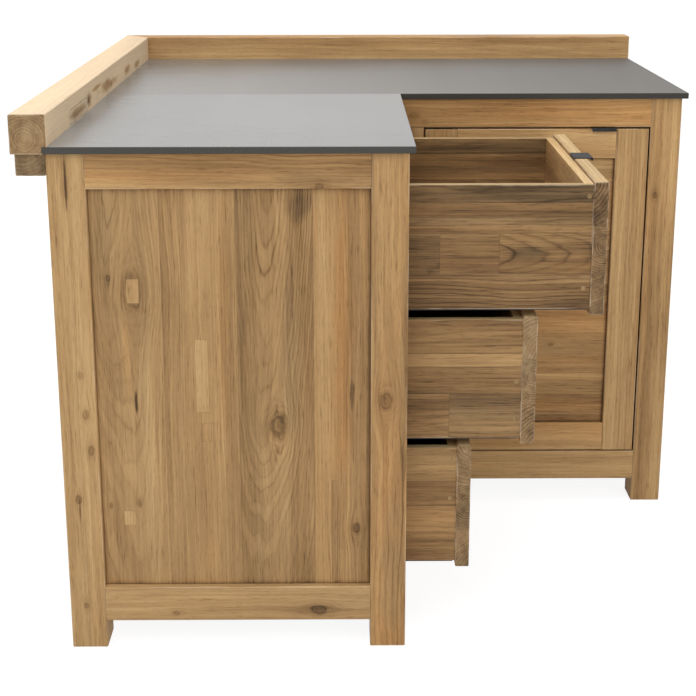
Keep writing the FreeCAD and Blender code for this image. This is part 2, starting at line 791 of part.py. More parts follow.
group("door_rails", [
    door_rail("door_rail_bottom", DOOR_LOW, S.door_rail - S.groove_depth),
    door_rail("door_rail_top", DOOR_LOW + DOOR_HEIGHT - S.door_rail, 0),
])
node(board(
    "door_panel",
    (DOOR_X + S.door_stile - S.groove_depth, INNER_Y + S.door_inset, DOOR_LOW + S.door_rail - S.groove_depth),
    (RAIL_SPAN + 2 * S.groove_depth, S.door_panel, DOOR_HEIGHT - 2 * S.door_rail + 2 * S.groove_depth),
))
door_pull_at = (DOOR_X + DOOR_WIDTH - S.door_pull_inset, INNER_Y, DOOR_LOW + DOOR_HEIGHT)
pull("door_pull", door_pull_at, S.front_thick, turned=True)


def pivot(label, at, upright):
    """A turned pin with a collar, revolved about its own axis."""
    body = new_body(label, at)
    pin = S.pivot_size / 2
    collar = S.pivot_collar / 2
    rest = S.door_gap - S.pivot_play
    reach = S.door_gap + S.pivot_depth - 2 * S.pivot_play
    points = [
        (0, -S.pivot_depth), (pin, -S.pivot_depth), (pin, 0), (collar, 0),
        (collar, rest), (pin, rest), (pin, reach), (0, reach),
    ]
    points = [(r, mirrored(z, 1 if upright else -1)) for r, z in points]
    sketch = outline(body, label + "_section", "XZ_Plane", points)
    turned = body.newObject("PartDesign::Revolution", label + "_turned")
    turned.Profile = sketch
    turned.ReferenceAxis = (sketch, ["V_Axis"])
    turned.Angle = 360
    return body


PIVOT_X = DOOR_X + S.pivot_offset
PIVOT_Y = INNER_Y + S.pivot_offset
group("pivot_pins", [
    pivot("pivot_pin_bottom", (PIVOT_X, PIVOT_Y, LOW_TOP), True),
    pivot("pivot_pin_top", (PIVOT_X, PIVOT_Y, HIGH_BASE), False),
])

doc.recompute()
os.makedirs("parts", exist_ok=True)
for item in doc.Objects:
    if "Invalid" in item.State or "Error" in item.State:
        raise RuntimeError(f"{item.Label} did not recompute")
for item in NODES:
    shape = item.Shape
    if shape.isNull() or not shape.isValid():
        raise RuntimeError(f"{item.Label} has no valid shape")
    shape.exportStep(f"parts/{item.Label}.step")
    print(item.Label, len(shape.Solids), round(shape.Volume))
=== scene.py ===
"""Looks of the outdoor kitchen corner cabinet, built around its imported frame."""

import math
import random
from typing import NamedTuple

import bmesh
import bpy
from mathutils import Matrix, Vector

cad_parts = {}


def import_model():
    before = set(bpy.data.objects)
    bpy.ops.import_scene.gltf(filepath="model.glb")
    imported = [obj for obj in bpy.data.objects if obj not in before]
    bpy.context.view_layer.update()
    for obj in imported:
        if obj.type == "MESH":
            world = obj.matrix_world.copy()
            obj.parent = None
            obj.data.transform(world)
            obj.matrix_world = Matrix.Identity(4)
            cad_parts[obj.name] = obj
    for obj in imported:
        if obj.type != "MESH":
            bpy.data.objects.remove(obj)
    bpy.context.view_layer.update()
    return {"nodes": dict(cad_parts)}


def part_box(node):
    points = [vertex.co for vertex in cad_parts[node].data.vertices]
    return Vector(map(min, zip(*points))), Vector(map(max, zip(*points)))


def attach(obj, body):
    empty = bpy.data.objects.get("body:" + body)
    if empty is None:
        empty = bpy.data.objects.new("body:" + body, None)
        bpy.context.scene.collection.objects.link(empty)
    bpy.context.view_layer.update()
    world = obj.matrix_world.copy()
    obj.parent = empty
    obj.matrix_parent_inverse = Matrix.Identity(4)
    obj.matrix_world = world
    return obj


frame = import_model()
nodes = frame["nodes"]

AXES = {"x": 0, "y": 1, "z": 2}
LEVELS = ("bottom", "middle", "top")
CARCASS_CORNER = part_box("post_near_left")[0]


def coordinate(axis, value):
    """A place on one axis, from the carcass's millimetres to the frame's metres."""
    return value / 1000 + CARCASS_CORNER[AXES[axis]]


def point(x, y, z):
    """A point given in the carcass's millimetres, in the frame's metres."""
    return Vector((coordinate("x", x), coordinate("y", y), coordinate("z", z)))


def carcass_height(height):
    """A height in the carcass's millimetres, from the frame's metres."""
    return (height - CARCASS_CORNER[AXES["z"]]) * 1000


def third_axis(first, second):
    return next(axis for axis in AXES if axis not in (first, second))


# Node webs


class Noise(NamedTuple):
    """A noise: its stretch per metre on each axis, its octaves and their roughness.

    The shift moves it to another place. The span is the part of its values that spreads over nought to one.
    """

    stretch: tuple
    detail: float = 2.0
    roughness: float = 0.5
    shift: tuple = None
    span: tuple = None


def even_noise(stretch, *settings):
    """A noise that is alike on all axes."""
    return Noise((stretch, stretch, stretch), *settings)


def opaque(colour):
    """Three colour shares, or one share of grey, with full alpha."""
    shares = colour if isinstance(colour, tuple) else (colour, colour, colour)
    return (*shares, 1.0)


class Web:
    """The node tree of a material or a group, grown one call at a time."""

    def __init__(self, tree):
        self.tree = tree

    def add(self, kind, inputs=(), **settings):
        """A new node. Its inputs are links or values, by place or by name."""
        node = self.tree.nodes.new(kind)
        for key, value in settings.items():
            setattr(node, key, value)
        pairs = inputs.items() if isinstance(inputs, dict) else enumerate(inputs)
        for key, value in pairs:
            if isinstance(value, bpy.types.NodeSocket):
                self.tree.links.new(value, node.inputs[key])
            else:
                node.inputs[key].default_value = value
        return node

    def math(self, operation, *values):
        return self.add("ShaderNodeMath", values, operation=operation).outputs[0]

    def chain(self, operation, first, *others):
        """One operation on many values, a pair at a time."""
        for other in others:
            first = self.math(operation, first, other)
        return first

    def weigh(self, base, *pairs):
        """A base value plus each value times its weight."""
        for value, weight in pairs:
            base = self.math("MULTIPLY_ADD", value, weight, base)
        return base

    def swing(self, noise, weight, base):
        """A base value moved both ways by a noise about its middle."""
        return self.weigh(base, (self.math("SUBTRACT", noise, 0.5), weight))

    def vector(self, operation, *values):
        node = self.add("ShaderNodeVectorMath", values, operation=operation)
        return node.outputs["Value" if operation in ("LENGTH", "DOT_PRODUCT") else "Vector"]

    def split(self, vector):
        return self.add("ShaderNodeSeparateXYZ", [vector]).outputs[:3]

    def join(self, x, y, z):
        return self.add("ShaderNodeCombineXYZ", [x, y, z]).outputs[0]

    def noise(self, place, kind, colour=False):
        if kind.shift:
            place = self.vector("ADD", place, kind.shift)
        place = self.vector("MULTIPLY", place, kind.stretch)
        inputs = {"Vector": place, "Scale": 1.0, "Detail": kind.detail, "Roughness": kind.roughness}
        value = self.add("ShaderNodeTexNoise", inputs).outputs["Color" if colour else 0]
        return self.smooth(value, *kind.span) if kind.span else value

    def smooth(self, value, low, high):
        """Nought at the low value, one at the high one, and a soft step between."""
        inputs = {"Value": value, "From Min": low, "From Max": high}
        return self.add("ShaderNodeMapRange", inputs, interpolation_type="SMOOTHSTEP").outputs[0]

    def ramp(self, value, stops):
        node = self.add("ShaderNodeValToRGB", [value])
        elements = node.color_ramp.elements
        while len(elements) < len(stops):
            elements.new(0.5)
        for element, (position, colour) in zip(elements, stops):
            element.position = position
            element.color = opaque(colour)
        return node.outputs[0]

    def mix(self, factor, first, second, blend="MIX"):
        first, second = (c if isinstance(c, bpy.types.NodeSocket) else opaque(c) for c in (first, second))
        inputs = {0: factor, 6: first, 7: second}
        return self.add("ShaderNodeMix", inputs, data_type="RGBA", blend_type=blend).outputs[2]

    def bump(self, height, strength, distance):
        inputs = {"Strength": strength, "Distance": distance, "Height": height}
        return self.add("ShaderNodeBump", inputs).outputs[0]


def group(name, numbers, outputs):
    """A new node group that is given a place and some numbers: its web, and its inputs by name."""
    tree = bpy.data.node_groups.new(name, "ShaderNodeTree")
    tree.interface.new_socket("Place", in_out="INPUT", socket_type="NodeSocketVector")
    for label in numbers:
        tree.interface.new_socket(label, in_out="INPUT", socket_type="NodeSocketFloat")
    for label, kind in outputs.items():
        tree.interface.new_socket(label, in_out="OUTPUT", socket_type="NodeSocket" + kind)
    web = Web(tree)
    return web, web.add("NodeGroupInput").outputs


def new_material(name):
    material = bpy.data.materials.new(name)
    material.use_nodes = True
    material.node_tree.nodes.clear()
    return material, Web(material.node_tree)


def surface(web, **sockets):
    """The principled shader that ends a material; a name's underscores stand for spaces."""
    inputs = {key.replace("_", " "): value for key, value in sockets.items()}
    shader = web.add("ShaderNodeBsdfPrincipled", inputs)
    web.add("ShaderNodeOutputMaterial", [shader.outputs[0]])


def dress(name, material):
    """Gives a CAD node one material in all its slots."""
    mesh = nodes[name].data
    mesh.materials.clear()
    mesh.materials.append(material)


# Teak grain

LABELS = {
    "tone": "Tone",
    "warm": "Warm",
    "pith_x": "Pith X",
    "pith_y": "Pith Y",
    "lean_x": "Lean X",
    "lean_y": "Lean Y",
    "ring": "Ring",
    "wander": "Wander",
    "figure": "Figure",
    "streak": "Streak",
    "motley": "Motley",
}
SEED_SHIFT = (1.7, 2.9, 4.3)
SLOW_WANDER = Noise((6.0, 6.0, 1.8))
QUICK_WANDER = Noise((45.0, 45.0, 9.0))
QUICK_REACH = 0.008
MIDDLE_GREY = (0.5, 0.5, 0.5)
GRAIN_NOISE = {
    "clear": Noise((7.0, 7.0, 2.2), shift=(3.0, 5.0, 7.0), span=(0.36, 0.66)),
    "streak": Noise((17.0, 17.0, 0.55), 4.0, 0.6),
    "blotch": Noise((11.0, 11.0, 3.2), 3.0, 0.55, shift=(6.0, 2.0, 4.0)),
    "hue": Noise((14.0, 14.0, 0.6), 3.0, shift=(9.0, 9.0, 9.0)),
    "fibre": Noise((240.0, 240.0, 4.5), 3.0, 0.65),
    "dash": Noise((430.0, 430.0, 24.0), span=(0.56, 0.74)),
    "pore": Noise((1100.0, 1100.0, 60.0), 1.0, span=(0.56, 0.72)),
    "flake": even_noise(75.0, 4.0, 0.65),
}
RING_DRIFT = 3.0
RING_LINE = [(0.0, 0.6), (0.1, 0.12), (0.45, 0.0), (0.78, 0.22), (0.94, 1.0), (1.0, 0.6)]
FAINTEST_RING = 0.15
LEAST_CLEAR = 0.4
CLEAR_GAIN = 0.75
MIDDLE_VALUE = 0.5
BLOTCH_WEIGHT = 0.4
RING_WEIGHT = 0.1
FIBRE_WEIGHT = 0.43
DASH_WEIGHT = -0.17
FLAKE_WEIGHT = 0.75
END_FIBRE_LOSS = -0.6
END_RING_GAIN = 1.8
TEAK_COLOURS = [
    (0.0, (0.07, 0.036, 0.013)),
    (0.22, (0.21, 0.115, 0.044)),
    (0.5, (0.405, 0.243, 0.102)),
    (0.76, (0.575, 0.375, 0.17)),
    (1.0, (0.76, 0.57, 0.32)),
]
WARM_TINT = (1.1, 0.91, 0.7)
COOL_TINT = (0.88, 0.98, 1.1)
PORE_TINT = (0.3, 0.22, 0.15)
PORE_SHARE = 0.3
END_TINT = (0.6, 0.62, 0.7)
END_SHARE = 0.85
TEAK_ROUGHNESS = 0.56
ROUGH_WEIGHTS = {"ring": 0.12, "fibre": 0.16}
HEIGHT_WEIGHTS = {"pore": -0.6, "fibre": 0.8, "ring": -0.5, "dash": -0.5}


def ring_phase(web, given, seeded):
    """How many rings lie between a place and the pith, which leans and wanders."""
    wanders = []
    for kind in (SLOW_WANDER, QUICK_WANDER):
        wander = web.vector("SUBTRACT", web.noise(seeded, kind, colour=True), MIDDLE_GREY)
        wanders.append(web.split(wander))
    slow, quick = wanders
    sides = web.split(given["Place"])
    offsets = []
    for i, letter in enumerate("XY"):
        straight = web.math("SUBTRACT", sides[i], given[f"Pith {letter}"])
        bends = ((sides[2], given[f"Lean {letter}"]), (slow[i], given["Wander"]), (quick[i], QUICK_REACH))
        offsets.append(web.weigh(straight, *bends))
    radius = web.vector("LENGTH", web.join(*offsets, 0.0))
    return web.weigh(web.math("DIVIDE", radius, given["Ring"]), (slow[2], RING_DRIFT))


def dark_rings(web, phase, clear):
    """The dark line of each growth ring, strong in some rings and places, and each ring's own chance."""
    ring_number = web.math("FLOOR", phase)
    ring_chance = web.add("ShaderNodeTexWhiteNoise", {"W": ring_number}, noise_dimensions="1D").outputs[0]
    line = web.ramp(web.math("FRACT", phase), RING_LINE)
    strength = web.weigh(FAINTEST_RING, (web.math("POWER", ring_chance, 2.0), 1.0 - FAINTEST_RING))
    strength = web.math("MULTIPLY", strength, web.weigh(LEAST_CLEAR, (clear, CLEAR_GAIN)))
    return web.math("MULTIPLY", line, strength), ring_chance


def grain_value(web, given, noises, ring_chance):
    """How light the wood is: streaks, blotches, fibres and rings about its own tone."""
    value = web.swing(noises["streak"], given["Streak"], MIDDLE_VALUE)
    value = web.swing(noises["blotch"], BLOTCH_WEIGHT, value)
    value = web.swing(ring_chance, RING_WEIGHT, value)
    fine = web.swing(noises["fibre"], FIBRE_WEIGHT, web.math("MULTIPLY", noises["dash"], DASH_WEIGHT))
    flakes = web.swing(noises["flake"], FLAKE_WEIGHT, 0.0)
    lengthwise = web.weigh(1.0, (given["End"], END_FIBRE_LOSS))
    value = web.weigh(value, (fine, lengthwise), (flakes, given["End"]))
    value = web.math("ADD", value, given["Tone"])
    figure = web.math("MULTIPLY", given["Figure"], web.weigh(1.0, (given["End"], END_RING_GAIN)))
    return web.math("SUBTRACT", value, web.math("MULTIPLY", noises["ring"], figure))


def grain_colour(web, given, noises, value):
    """The colour of a value, tinted by its warmth, its pores and its end grain."""
    colour = web.ramp(value, TEAK_COLOURS)
    warmth = web.swing(noises["hue"], given["Motley"], given["Warm"])
    tints = (
        (web.smooth(warmth, 0.0, 1.0), WARM_TINT),
        (web.smooth(warmth, 0.0, -1.0), COOL_TINT),
        (web.math("MULTIPLY", noises["pore"], PORE_SHARE), PORE_TINT),
        (web.math("MULTIPLY", given["End"], END_SHARE), END_TINT),
    )
    for share, tint in tints:
        colour = web.mix(share, colour, tint, "MULTIPLY")
    return colour


def grain_group():
    """Growth rings about a leaning pith, with streaks, fibres and pores along Z."""
    outputs = {"Colour": "Color", "Roughness": "Float", "Height": "Float"}
    web, given = group("teak_grain", (*LABELS.values(), "Seed", "End"), outputs)
    inputs = {0: SEED_SHIFT, "Scale": given["Seed"]}
    shift = web.add("ShaderNodeVectorMath", inputs, operation="SCALE").outputs[0]
    seeded = web.vector("ADD", given["Place"], shift)
    noises = {name: web.noise(seeded, kind) for name, kind in GRAIN_NOISE.items()}
    noises["ring"], ring_chance = dark_rings(web, ring_phase(web, given, seeded), noises["clear"])
    value = grain_value(web, given, noises, ring_chance)
    colour = grain_colour(web, given, noises, value)
    roughness = web.weigh(TEAK_ROUGHNESS, *((noises[name], w) for name, w in ROUGH_WEIGHTS.items()))
    height = web.weigh(0.0, *((noises[name], w) for name, w in HEIGHT_WEIGHTS.items()))
    web.add("NodeGroupOutput", [colour, roughness, height])
    return web.tree


KNOT_NOISE = Noise((60.0, 60.0, 40.0), 3.0)
KNOT_RAGGED = 1.3
KNOT_SQUASH = 0.62
KNOT_SOFT = 0.4
KNOT_FADE = -0.12
KNOT_PUSH = 1.3
KNOT_CORE = (1.1, 0.6)
KNOT_RING_RATE = 1.9
KNOT_RIM = 0.95
KNOT_RIM_WIDTH = 0.4
KNOT_HALO = (3.4, 0.6)
KNOT_SHADES = {"core": 0.2, "rim": 0.16, "rings": 0.22, "halo": 0.03}


def knot_group():
    """A knot on a face: how far it pushes the grain aside, its core, and the shade of its rings and rim."""
    outputs = {"Push": "Float", "Core": "Float", "Shade": "Float"}
    web, given = group("teak_knot", ("Across", "Along", "Radius", "Strength"), outputs)
    sides = web.split(given["Place"])
    radius = given["Radius"]
    aside = web.math("SUBTRACT", sides[0], given["Across"])
    ahead = web.math("MULTIPLY", web.math("SUBTRACT", sides[2], given["Along"]), KNOT_SQUASH)
    far = web.math("DIVIDE", web.vector("LENGTH", web.join(aside, ahead, 0.0)), radius)
    reach = web.swing(web.noise(given["Place"], KNOT_NOISE), KNOT_RAGGED, far)
    side = web.math("DIVIDE", aside, web.weigh(web.math("ABSOLUTE", aside), (radius, KNOT_SOFT)))
    fall = web.math("EXPONENT", web.math("MULTIPLY", web.math("POWER", far, 2.0), KNOT_FADE))
    push = web.chain("MULTIPLY", side, fall, web.math("MULTIPLY", radius, KNOT_PUSH))
    core = web.smooth(reach, *KNOT_CORE)
    rim_distance = web.math("ABSOLUTE", web.math("SUBTRACT", reach, KNOT_RIM))
    halo = web.smooth(far, *KNOT_HALO)
    rings = web.math("PINGPONG", web.math("MULTIPLY", reach, KNOT_RING_RATE), 0.5)
    shades = {
        "core": core,
        "rim": web.smooth(rim_distance, KNOT_RIM_WIDTH, 0.0),
        "rings": web.math("MULTIPLY", halo, rings),
        "halo": halo,
    }
    shade = web.weigh(0.0, *((shades[name], weight) for name, weight in KNOT_SHADES.items()))
    web.add("NodeGroupOutput", [push, core, web.math("MULTIPLY", shade, given["Strength"])])
    return web.tree


GRAIN = grain_group()
KNOT = knot_group()


# Teak boards


class Knot(NamedTuple):
    """A knot's middle and radius in the carcass's millimetres, and its strength."""

    across: float
    along: float
    radius: float
    strength: float


class Stain(NamedTuple):
    """A stain's middle and half sizes in the carcass's millimetres, and what it does to tone and warmth."""

    across: float
    along: float
    half_width: float
    half_length: float
    tone: float
    warm: float


class Inlay(NamedTuple):
    """A patch let into the wood: its bounds in the carcass's millimetres, and its own figure."""

    low: float
    high: float
    start: float
    stop: float
    figure: dict


class Turn(NamedTuple):
    """The wood of a node's other solids, which lie further than a reach along a direction in plan."""

    ahead_x: float
    ahead_y: float
    reach: float
    grain: str
    across: str


# The colour of dark seams, also used for the painted shadow line in a panel's crevice.
DARK_SEAM_AND_SHADOW_LINE = (0.045, 0.026, 0.013)
# The pale colour of weathered wood, also used for the painted highlight on edges.
PALE_WEATHER_AND_HIGHLIGHT = (0.8, 0.66, 0.48)
SEED_STEP = 31
INLAY_SEED = 500
INLAY_NUMBER = 3.0
END_FACING = (0.6, 0.9)
FULL_FACING = (0.7, 0.95)
HALF_FACING = (0.3, 0.7)
SEAM_WIDTH = 0.0009
SEAM_CORE = 0.35
SEAM_HEIGHT = -1.5
# Pale edges: wear and a painted highlight:
ARRIS_WIDTH = 0.0024
ARRIS_CORE = 0.3
ARRIS_WEAR_AND_HIGHLIGHT = 0.28
ARRIS_NOISE = Noise((28.0, 28.0, 9.0), 3.0, 0.6, span=(0.42, 0.6))
STAIN_NOISE = Noise((30.0, 30.0, 14.0), 3.0, 0.6)
STAIN_RAGGED = 2.2
STAIN_EDGE = (1.4, 0.4)
# How much cooler the painted light makes upward faces:
TOP_LIGHT_WARMTH = -0.6
GROOVE_DEPTH = 0.01
# Painted shade with dirt along a panel's frame, and the painted shadow line in its crevice:
SHADE_AND_DIRT_NOISE = Noise((90.0, 90.0, 25.0), 3.0)
SHADE_AND_DIRT_REACH = -0.008
SHADE_AND_DIRT_EDGE = (0.004, -0.004)
SHADE_AND_DIRT_TONE = -0.16
CREVICE_EDGE = (0.0022, 0.0006)
CREVICE_SHADE = 2.2
# Where the painted shade in the gap round the door lies, behind its face and above its foot:
DOOR_FACE, DOOR_BACK = (corner[1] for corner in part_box("door_stile_pull"))
JAMB_SET_BACK = 0.002
JAMB_BEHIND_DOOR = 0.003
JAMB_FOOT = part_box("rail_door_bottom")[1][2]
TEAK_BUMP = 0.35
TEAK_BUMP_DEPTH = 0.0005
TEAK_SHEEN = 0.3


def stepped(web, side, edges, values):
    """A value that changes at each edge along a side, as from board to board."""
    total = values[0]
    for edge, before, after in zip(edges, values, values[1:]):
        if after != before:
            total = web.weigh(total, (web.math("GREATER_THAN", side, edge), after - before))
    return total


def within(web, side, low, high):
    """One inside a stretch of a side, nought outside."""
    return web.math("MULTIPLY", web.math("GREATER_THAN", side, low), web.math("LESS_THAN", side, high))


def hairline(web, distance):
    """One on a seam, fading to nought at its width."""
    return web.smooth(web.math("ABSOLUTE", distance), SEAM_WIDTH, SEAM_WIDTH * SEAM_CORE)


def chance(seed, **fixed):
    """A board's own figure, drawn from its seed where it isn't given."""
    draw = random.Random(seed)
    board = {
        "tone": draw.uniform(-0.05, 0.05),
        "warm": draw.uniform(-0.15, 0.3),
        "pith_x": draw.choice((-1, 1)) * draw.uniform(0.03, 0.16),
        "pith_y": draw.choice((-1, 1)) * draw.uniform(0.03, 0.12),
        "lean_x": draw.uniform(-0.03, 0.03),
        "lean_y": draw.uniform(-0.03, 0.03),
        "ring": draw.uniform(0.005, 0.008),
        "wander": draw.uniform(0.015, 0.035),
        "figure": draw.uniform(0.17, 0.27),
        "streak": 0.95,
        "motley": 2.0,
    }
    board.update(fixed)
    return board


class Teak:
    """One teak material as it grows, from its boards' figure to what age and use did to them, with painted
    light and shade.

    Inside it a place's first side lies across the grain, its second through the board, its third along it.
    """

    def __init__(self, name, seed, grain, across, turn, box, fixed):
        self.material, self.web = new_material(name)
        self.seed = seed
        self.grain = grain
        self.across = across
        self.turn = turn
        self.low, self.high = box
        self.fixed = fixed
        texture = self.web.add("ShaderNodeTexCoord")
        self.sides = dict(zip(AXES, self.web.split(texture.outputs["Object"])))
        self.slants = dict(zip(AXES, self.web.split(texture.outputs["Normal"])))
        self.place, slant = self.facing(grain, across)
        if turn:
            slant = self.turn_round(texture.outputs["Object"], slant)
        self.end = self.web.smooth(self.web.math("ABSOLUTE", slant), *END_FACING)
        self.over, self.through, self.along = self.web.split(self.place)
        self.moved = self.over
        self.blots = []

    def facing(self, grain, across):
        """A place in the wood, and how far a face looks along its grain."""
        sides = (self.sides[axis] for axis in (across, third_axis(grain, across), grain))
        return self.web.join(*sides), self.slants[grain]

    def turn_round(self, spot, slant):
        """Lays the wood the other way in the solids that the turn names."""
        web, turn = self.web, self.turn
        ahead = web.vector("DOT_PRODUCT", spot, (turn.ahead_x, turn.ahead_y, 0.0))
        beyond = web.math("GREATER_THAN", ahead, turn.reach)
        other_place, other_slant = self.facing(turn.grain, turn.across)
        places = {0: beyond, 4: self.place, 5: other_place}
        self.place = web.add("ShaderNodeMix", places, data_type="VECTOR").outputs[1]
        return web.add("ShaderNodeMix", {0: beyond, 2: slant, 3: other_slant}, data_type="FLOAT").outputs[0]

    def looking(self, axis, sign, span):
        """One on faces that look along an axis, nought on the others."""
        return self.web.smooth(self.web.math("MULTIPLY", self.slants[axis], sign), *span)

    def change(self, field, share, amount):
        self.board[field] = self.web.weigh(self.board[field], (share, amount))

    def lay_boards(self, boards, edges):
        """Boards side by side, each with its own figure, and the seams between them."""
        web, i = self.web, AXES[self.across]
        edges = [coordinate(self.across, edge) for edge in edges]
        bounds = [self.low[i], *edges, self.high[i]]
        drawn = [chance(self.seed * SEED_STEP + n, **{**self.fixed, **own}) for n, own in enumerate(boards)]
        if edges or not self.turn:
            for board, start, stop in zip(drawn, bounds, bounds[1:]):
                board["pith_x"] += (start + stop) / 2
        self.board = {}
        for field in LABELS:
            self.board[field] = stepped(web, self.over, edges, [board[field] for board in drawn])
        self.number = stepped(web, self.over, edges, [float(n) for n in range(len(drawn))])
        self.lines = [hairline(web, web.math("SUBTRACT", self.over, edge)) for edge in edges]

    def let_in(self, inlay):
        """A patch with its own figure, and the seam round it."""
        web, count = self.web, len(self.lines)
        bounds = (
            (self.over, coordinate(self.across, inlay.low), coordinate(self.across, inlay.high)),
            (self.along, coordinate(self.grain, inlay.start), coordinate(self.grain, inlay.stop)),
        )
        inside = web.chain("MULTIPLY", *(within(web, *bound) for bound in bounds))
        own = chance(self.seed * SEED_STEP + INLAY_SEED + count, **{**self.fixed, **inlay.figure})
        own["pith_x"] += (bounds[0][1] + bounds[0][2]) / 2
        for field in LABELS:
            self.change(field, inside, web.math("SUBTRACT", own[field], self.board[field]))
        self.number = web.weigh(self.number, (inside, INLAY_NUMBER + count))
        reaches = []
        for side, low, high in bounds:
            off = web.math("ABSOLUTE", web.math("SUBTRACT", side, (low + high) / 2))
            reaches.append(web.math("SUBTRACT", off, (high - low) / 2))
        self.lines.append(hairline(web, web.chain("MAXIMUM", *reaches)))

    def add_knot(self, knot):
        """A knot that pushes the rings aside and covers them."""
        web = self.web
        inputs = {
            "Place": self.place,
            "Across": coordinate(self.across, knot.across),
            "Along": coordinate(self.grain, knot.along),
            "Radius": knot.radius / 1000,
            "Strength": knot.strength,
        }
        spot = web.add("ShaderNodeGroup", inputs, node_tree=KNOT).outputs
        self.moved = web.math("SUBTRACT", self.moved, spot["Push"])
        self.change("tone", spot["Shade"], -1.0)
        bare = web.math("SUBTRACT", 1.0, spot["Core"])
        self.board["figure"] = web.math("MULTIPLY", self.board["figure"], bare)

    def add_stains(self, stains, stained):
        """Ragged stains, only on the faces that look along stained's axis and sign where that is given."""
        cloud = self.web.noise(self.place, STAIN_NOISE)
        for stain in stains:
            ragged = self.web.swing(cloud, STAIN_RAGGED, self.stain_distance(stain))
            blot = self.web.smooth(ragged, *STAIN_EDGE)
            if stained:
                blot = self.web.math("MULTIPLY", blot, self.looking(*stained, HALF_FACING))
            self.blots.append(blot)
            self.change("tone", blot, stain.tone)
            self.change("warm", blot, stain.warm)

    def stain_distance(self, stain):
        """How far a place is from a stain's middle, one at its half sizes."""
        web = self.web
        offsets = []
        for side, axis, middle, half in (
            (self.over, self.across, stain.across, stain.half_width),
            (self.along, self.grain, stain.along, stain.half_length),
        ):
            offset = web.math("SUBTRACT", side, coordinate(axis, middle))
            offsets.append(web.math("DIVIDE", offset, half / 1000))
        return web.vector("LENGTH", web.join(*offsets, 0.0))

    def paint_light_on_top(self, crown):
        # Painted light: upward faces are made lighter and cooler, as light from above would make them.
        upward = self.looking("z", 1.0, FULL_FACING)
        self.change("tone", upward, crown)
        self.change("warm", upward, TOP_LIGHT_WARMTH)

    def paint_shade_and_dirt_in_corners(self):
        """Painted shade with dirt along the frame whose grooves hold a panel, and a dark line painted as the
        shadow in its crevice.
        """
        web = self.web
        gaps = []
        for side, axis in ((self.over, self.across), (self.along, self.grain)):
            low, high = self.low[AXES[axis]] + GROOVE_DEPTH, self.high[AXES[axis]] - GROOVE_DEPTH
            gaps += [web.math("SUBTRACT", side, low), web.math("SUBTRACT", high, side)]
        nearest = web.chain("MINIMUM", *gaps)
        ragged = web.weigh(nearest, (web.noise(self.place, SHADE_AND_DIRT_NOISE), SHADE_AND_DIRT_REACH))
        self.change("tone", web.smooth(ragged, *SHADE_AND_DIRT_EDGE), SHADE_AND_DIRT_TONE)
        self.lines.append(web.math("MULTIPLY", web.smooth(nearest, *CREVICE_EDGE), CREVICE_SHADE))

    def grow(self, paired):
        """The grain of all boards; paired nodes are mirrored about the plane between their two boards."""
        web = self.web
        depth = third_axis(self.grain, self.across)
        middles = {axis: 0.0 if self.turn else (self.low[i] + self.high[i]) / 2 for axis, i in AXES.items()}
        inward = web.math("SUBTRACT", self.through, middles[depth])
        if paired:
            inward = web.math("MULTIPLY", web.math("ABSOLUTE", inward), -1.0)
        inputs = {label: self.board[field] for field, label in LABELS.items()}
        inputs["Place"] = web.join(self.moved, inward, web.math("SUBTRACT", self.along, middles[self.grain]))
        inputs["End"] = self.end
        inputs["Seed"] = web.math("ADD", self.number, float(self.seed))
        wood = web.add("ShaderNodeGroup", inputs, node_tree=GRAIN).outputs
        self.colour, self.roughness, self.height = wood[:3]

    def bleach(self, on_side, on_top):
        """Wood gone pale, on its sides and on its top, except in end grain and stains."""
        web = self.web
        fade = web.weigh(on_side, (self.looking("z", 1.0, FULL_FACING), on_top - on_side))
        kept = web.chain("MAXIMUM", self.end, *self.blots)
        fade = web.math("MULTIPLY", fade, web.math("SUBTRACT", 1.0, kept))
        self.colour = web.mix(fade, self.colour, PALE_WEATHER_AND_HIGHLIGHT)

    def draw_seams_and_shadow_lines(self, shade):
        # Dark seams between boards and round inlays, and the painted shadow line in a framed panel's
        # crevice.
        line = self.web.chain("MAXIMUM", *self.lines)
        self.colour = self.web.mix(self.web.math("MULTIPLY", line, shade), self.colour, DARK_SEAM_AND_SHADOW_LINE)
        self.height = self.web.weigh(self.height, (line, SEAM_HEIGHT))

    def wear_and_highlight_arrises(self):
        """Paler wood on the edges of the node's box, in patches: wear, and a painted highlight where the
        edges catch light.
        """
        web = self.web
        reach = []
        for axis, i in AXES.items():
            middle = (self.low[i] + self.high[i]) / 2
            off = web.math("ABSOLUTE", web.math("SUBTRACT", self.sides[axis], middle))
            reach.append(web.math("SUBTRACT", (self.high[i] - self.low[i]) / 2, off))
        least, most = (web.math(choice, reach[0], reach[1]) for choice in ("MINIMUM", "MAXIMUM"))
        second_least = web.math("MAXIMUM", least, web.math("MINIMUM", most, reach[2]))
        edge = web.smooth(second_least, ARRIS_WIDTH, ARRIS_WIDTH * ARRIS_CORE)
        rubbed = web.chain("MULTIPLY", edge, web.noise(self.place, ARRIS_NOISE), ARRIS_WEAR_AND_HIGHLIGHT)
        self.colour = web.mix(rubbed, self.colour, PALE_WEATHER_AND_HIGHLIGHT)

    def paint_jamb_shade(self, axis, sign, share):
        """Painted shade: faces that look into the gap round the door keep only a share of their colour."""
        web = self.web
        behind = within(web, self.sides["y"], DOOR_FACE + JAMB_SET_BACK, DOOR_BACK + JAMB_BEHIND_DOOR)
        above = web.math("GREATER_THAN", self.sides["z"], JAMB_FOOT)
        shaded = web.chain("MULTIPLY", self.looking(axis, sign, FULL_FACING), behind, above)
        self.colour = web.mix(shaded, self.colour, share, "MULTIPLY")

    def finish(self):
        normal = self.web.bump(self.height, strength=TEAK_BUMP, distance=TEAK_BUMP_DEPTH)
        sockets = {"Base_Color": self.colour, "Roughness": self.roughness, "Normal": normal}
        surface(self.web, **sockets, Specular_IOR_Level=TEAK_SHEEN)
        return self.material


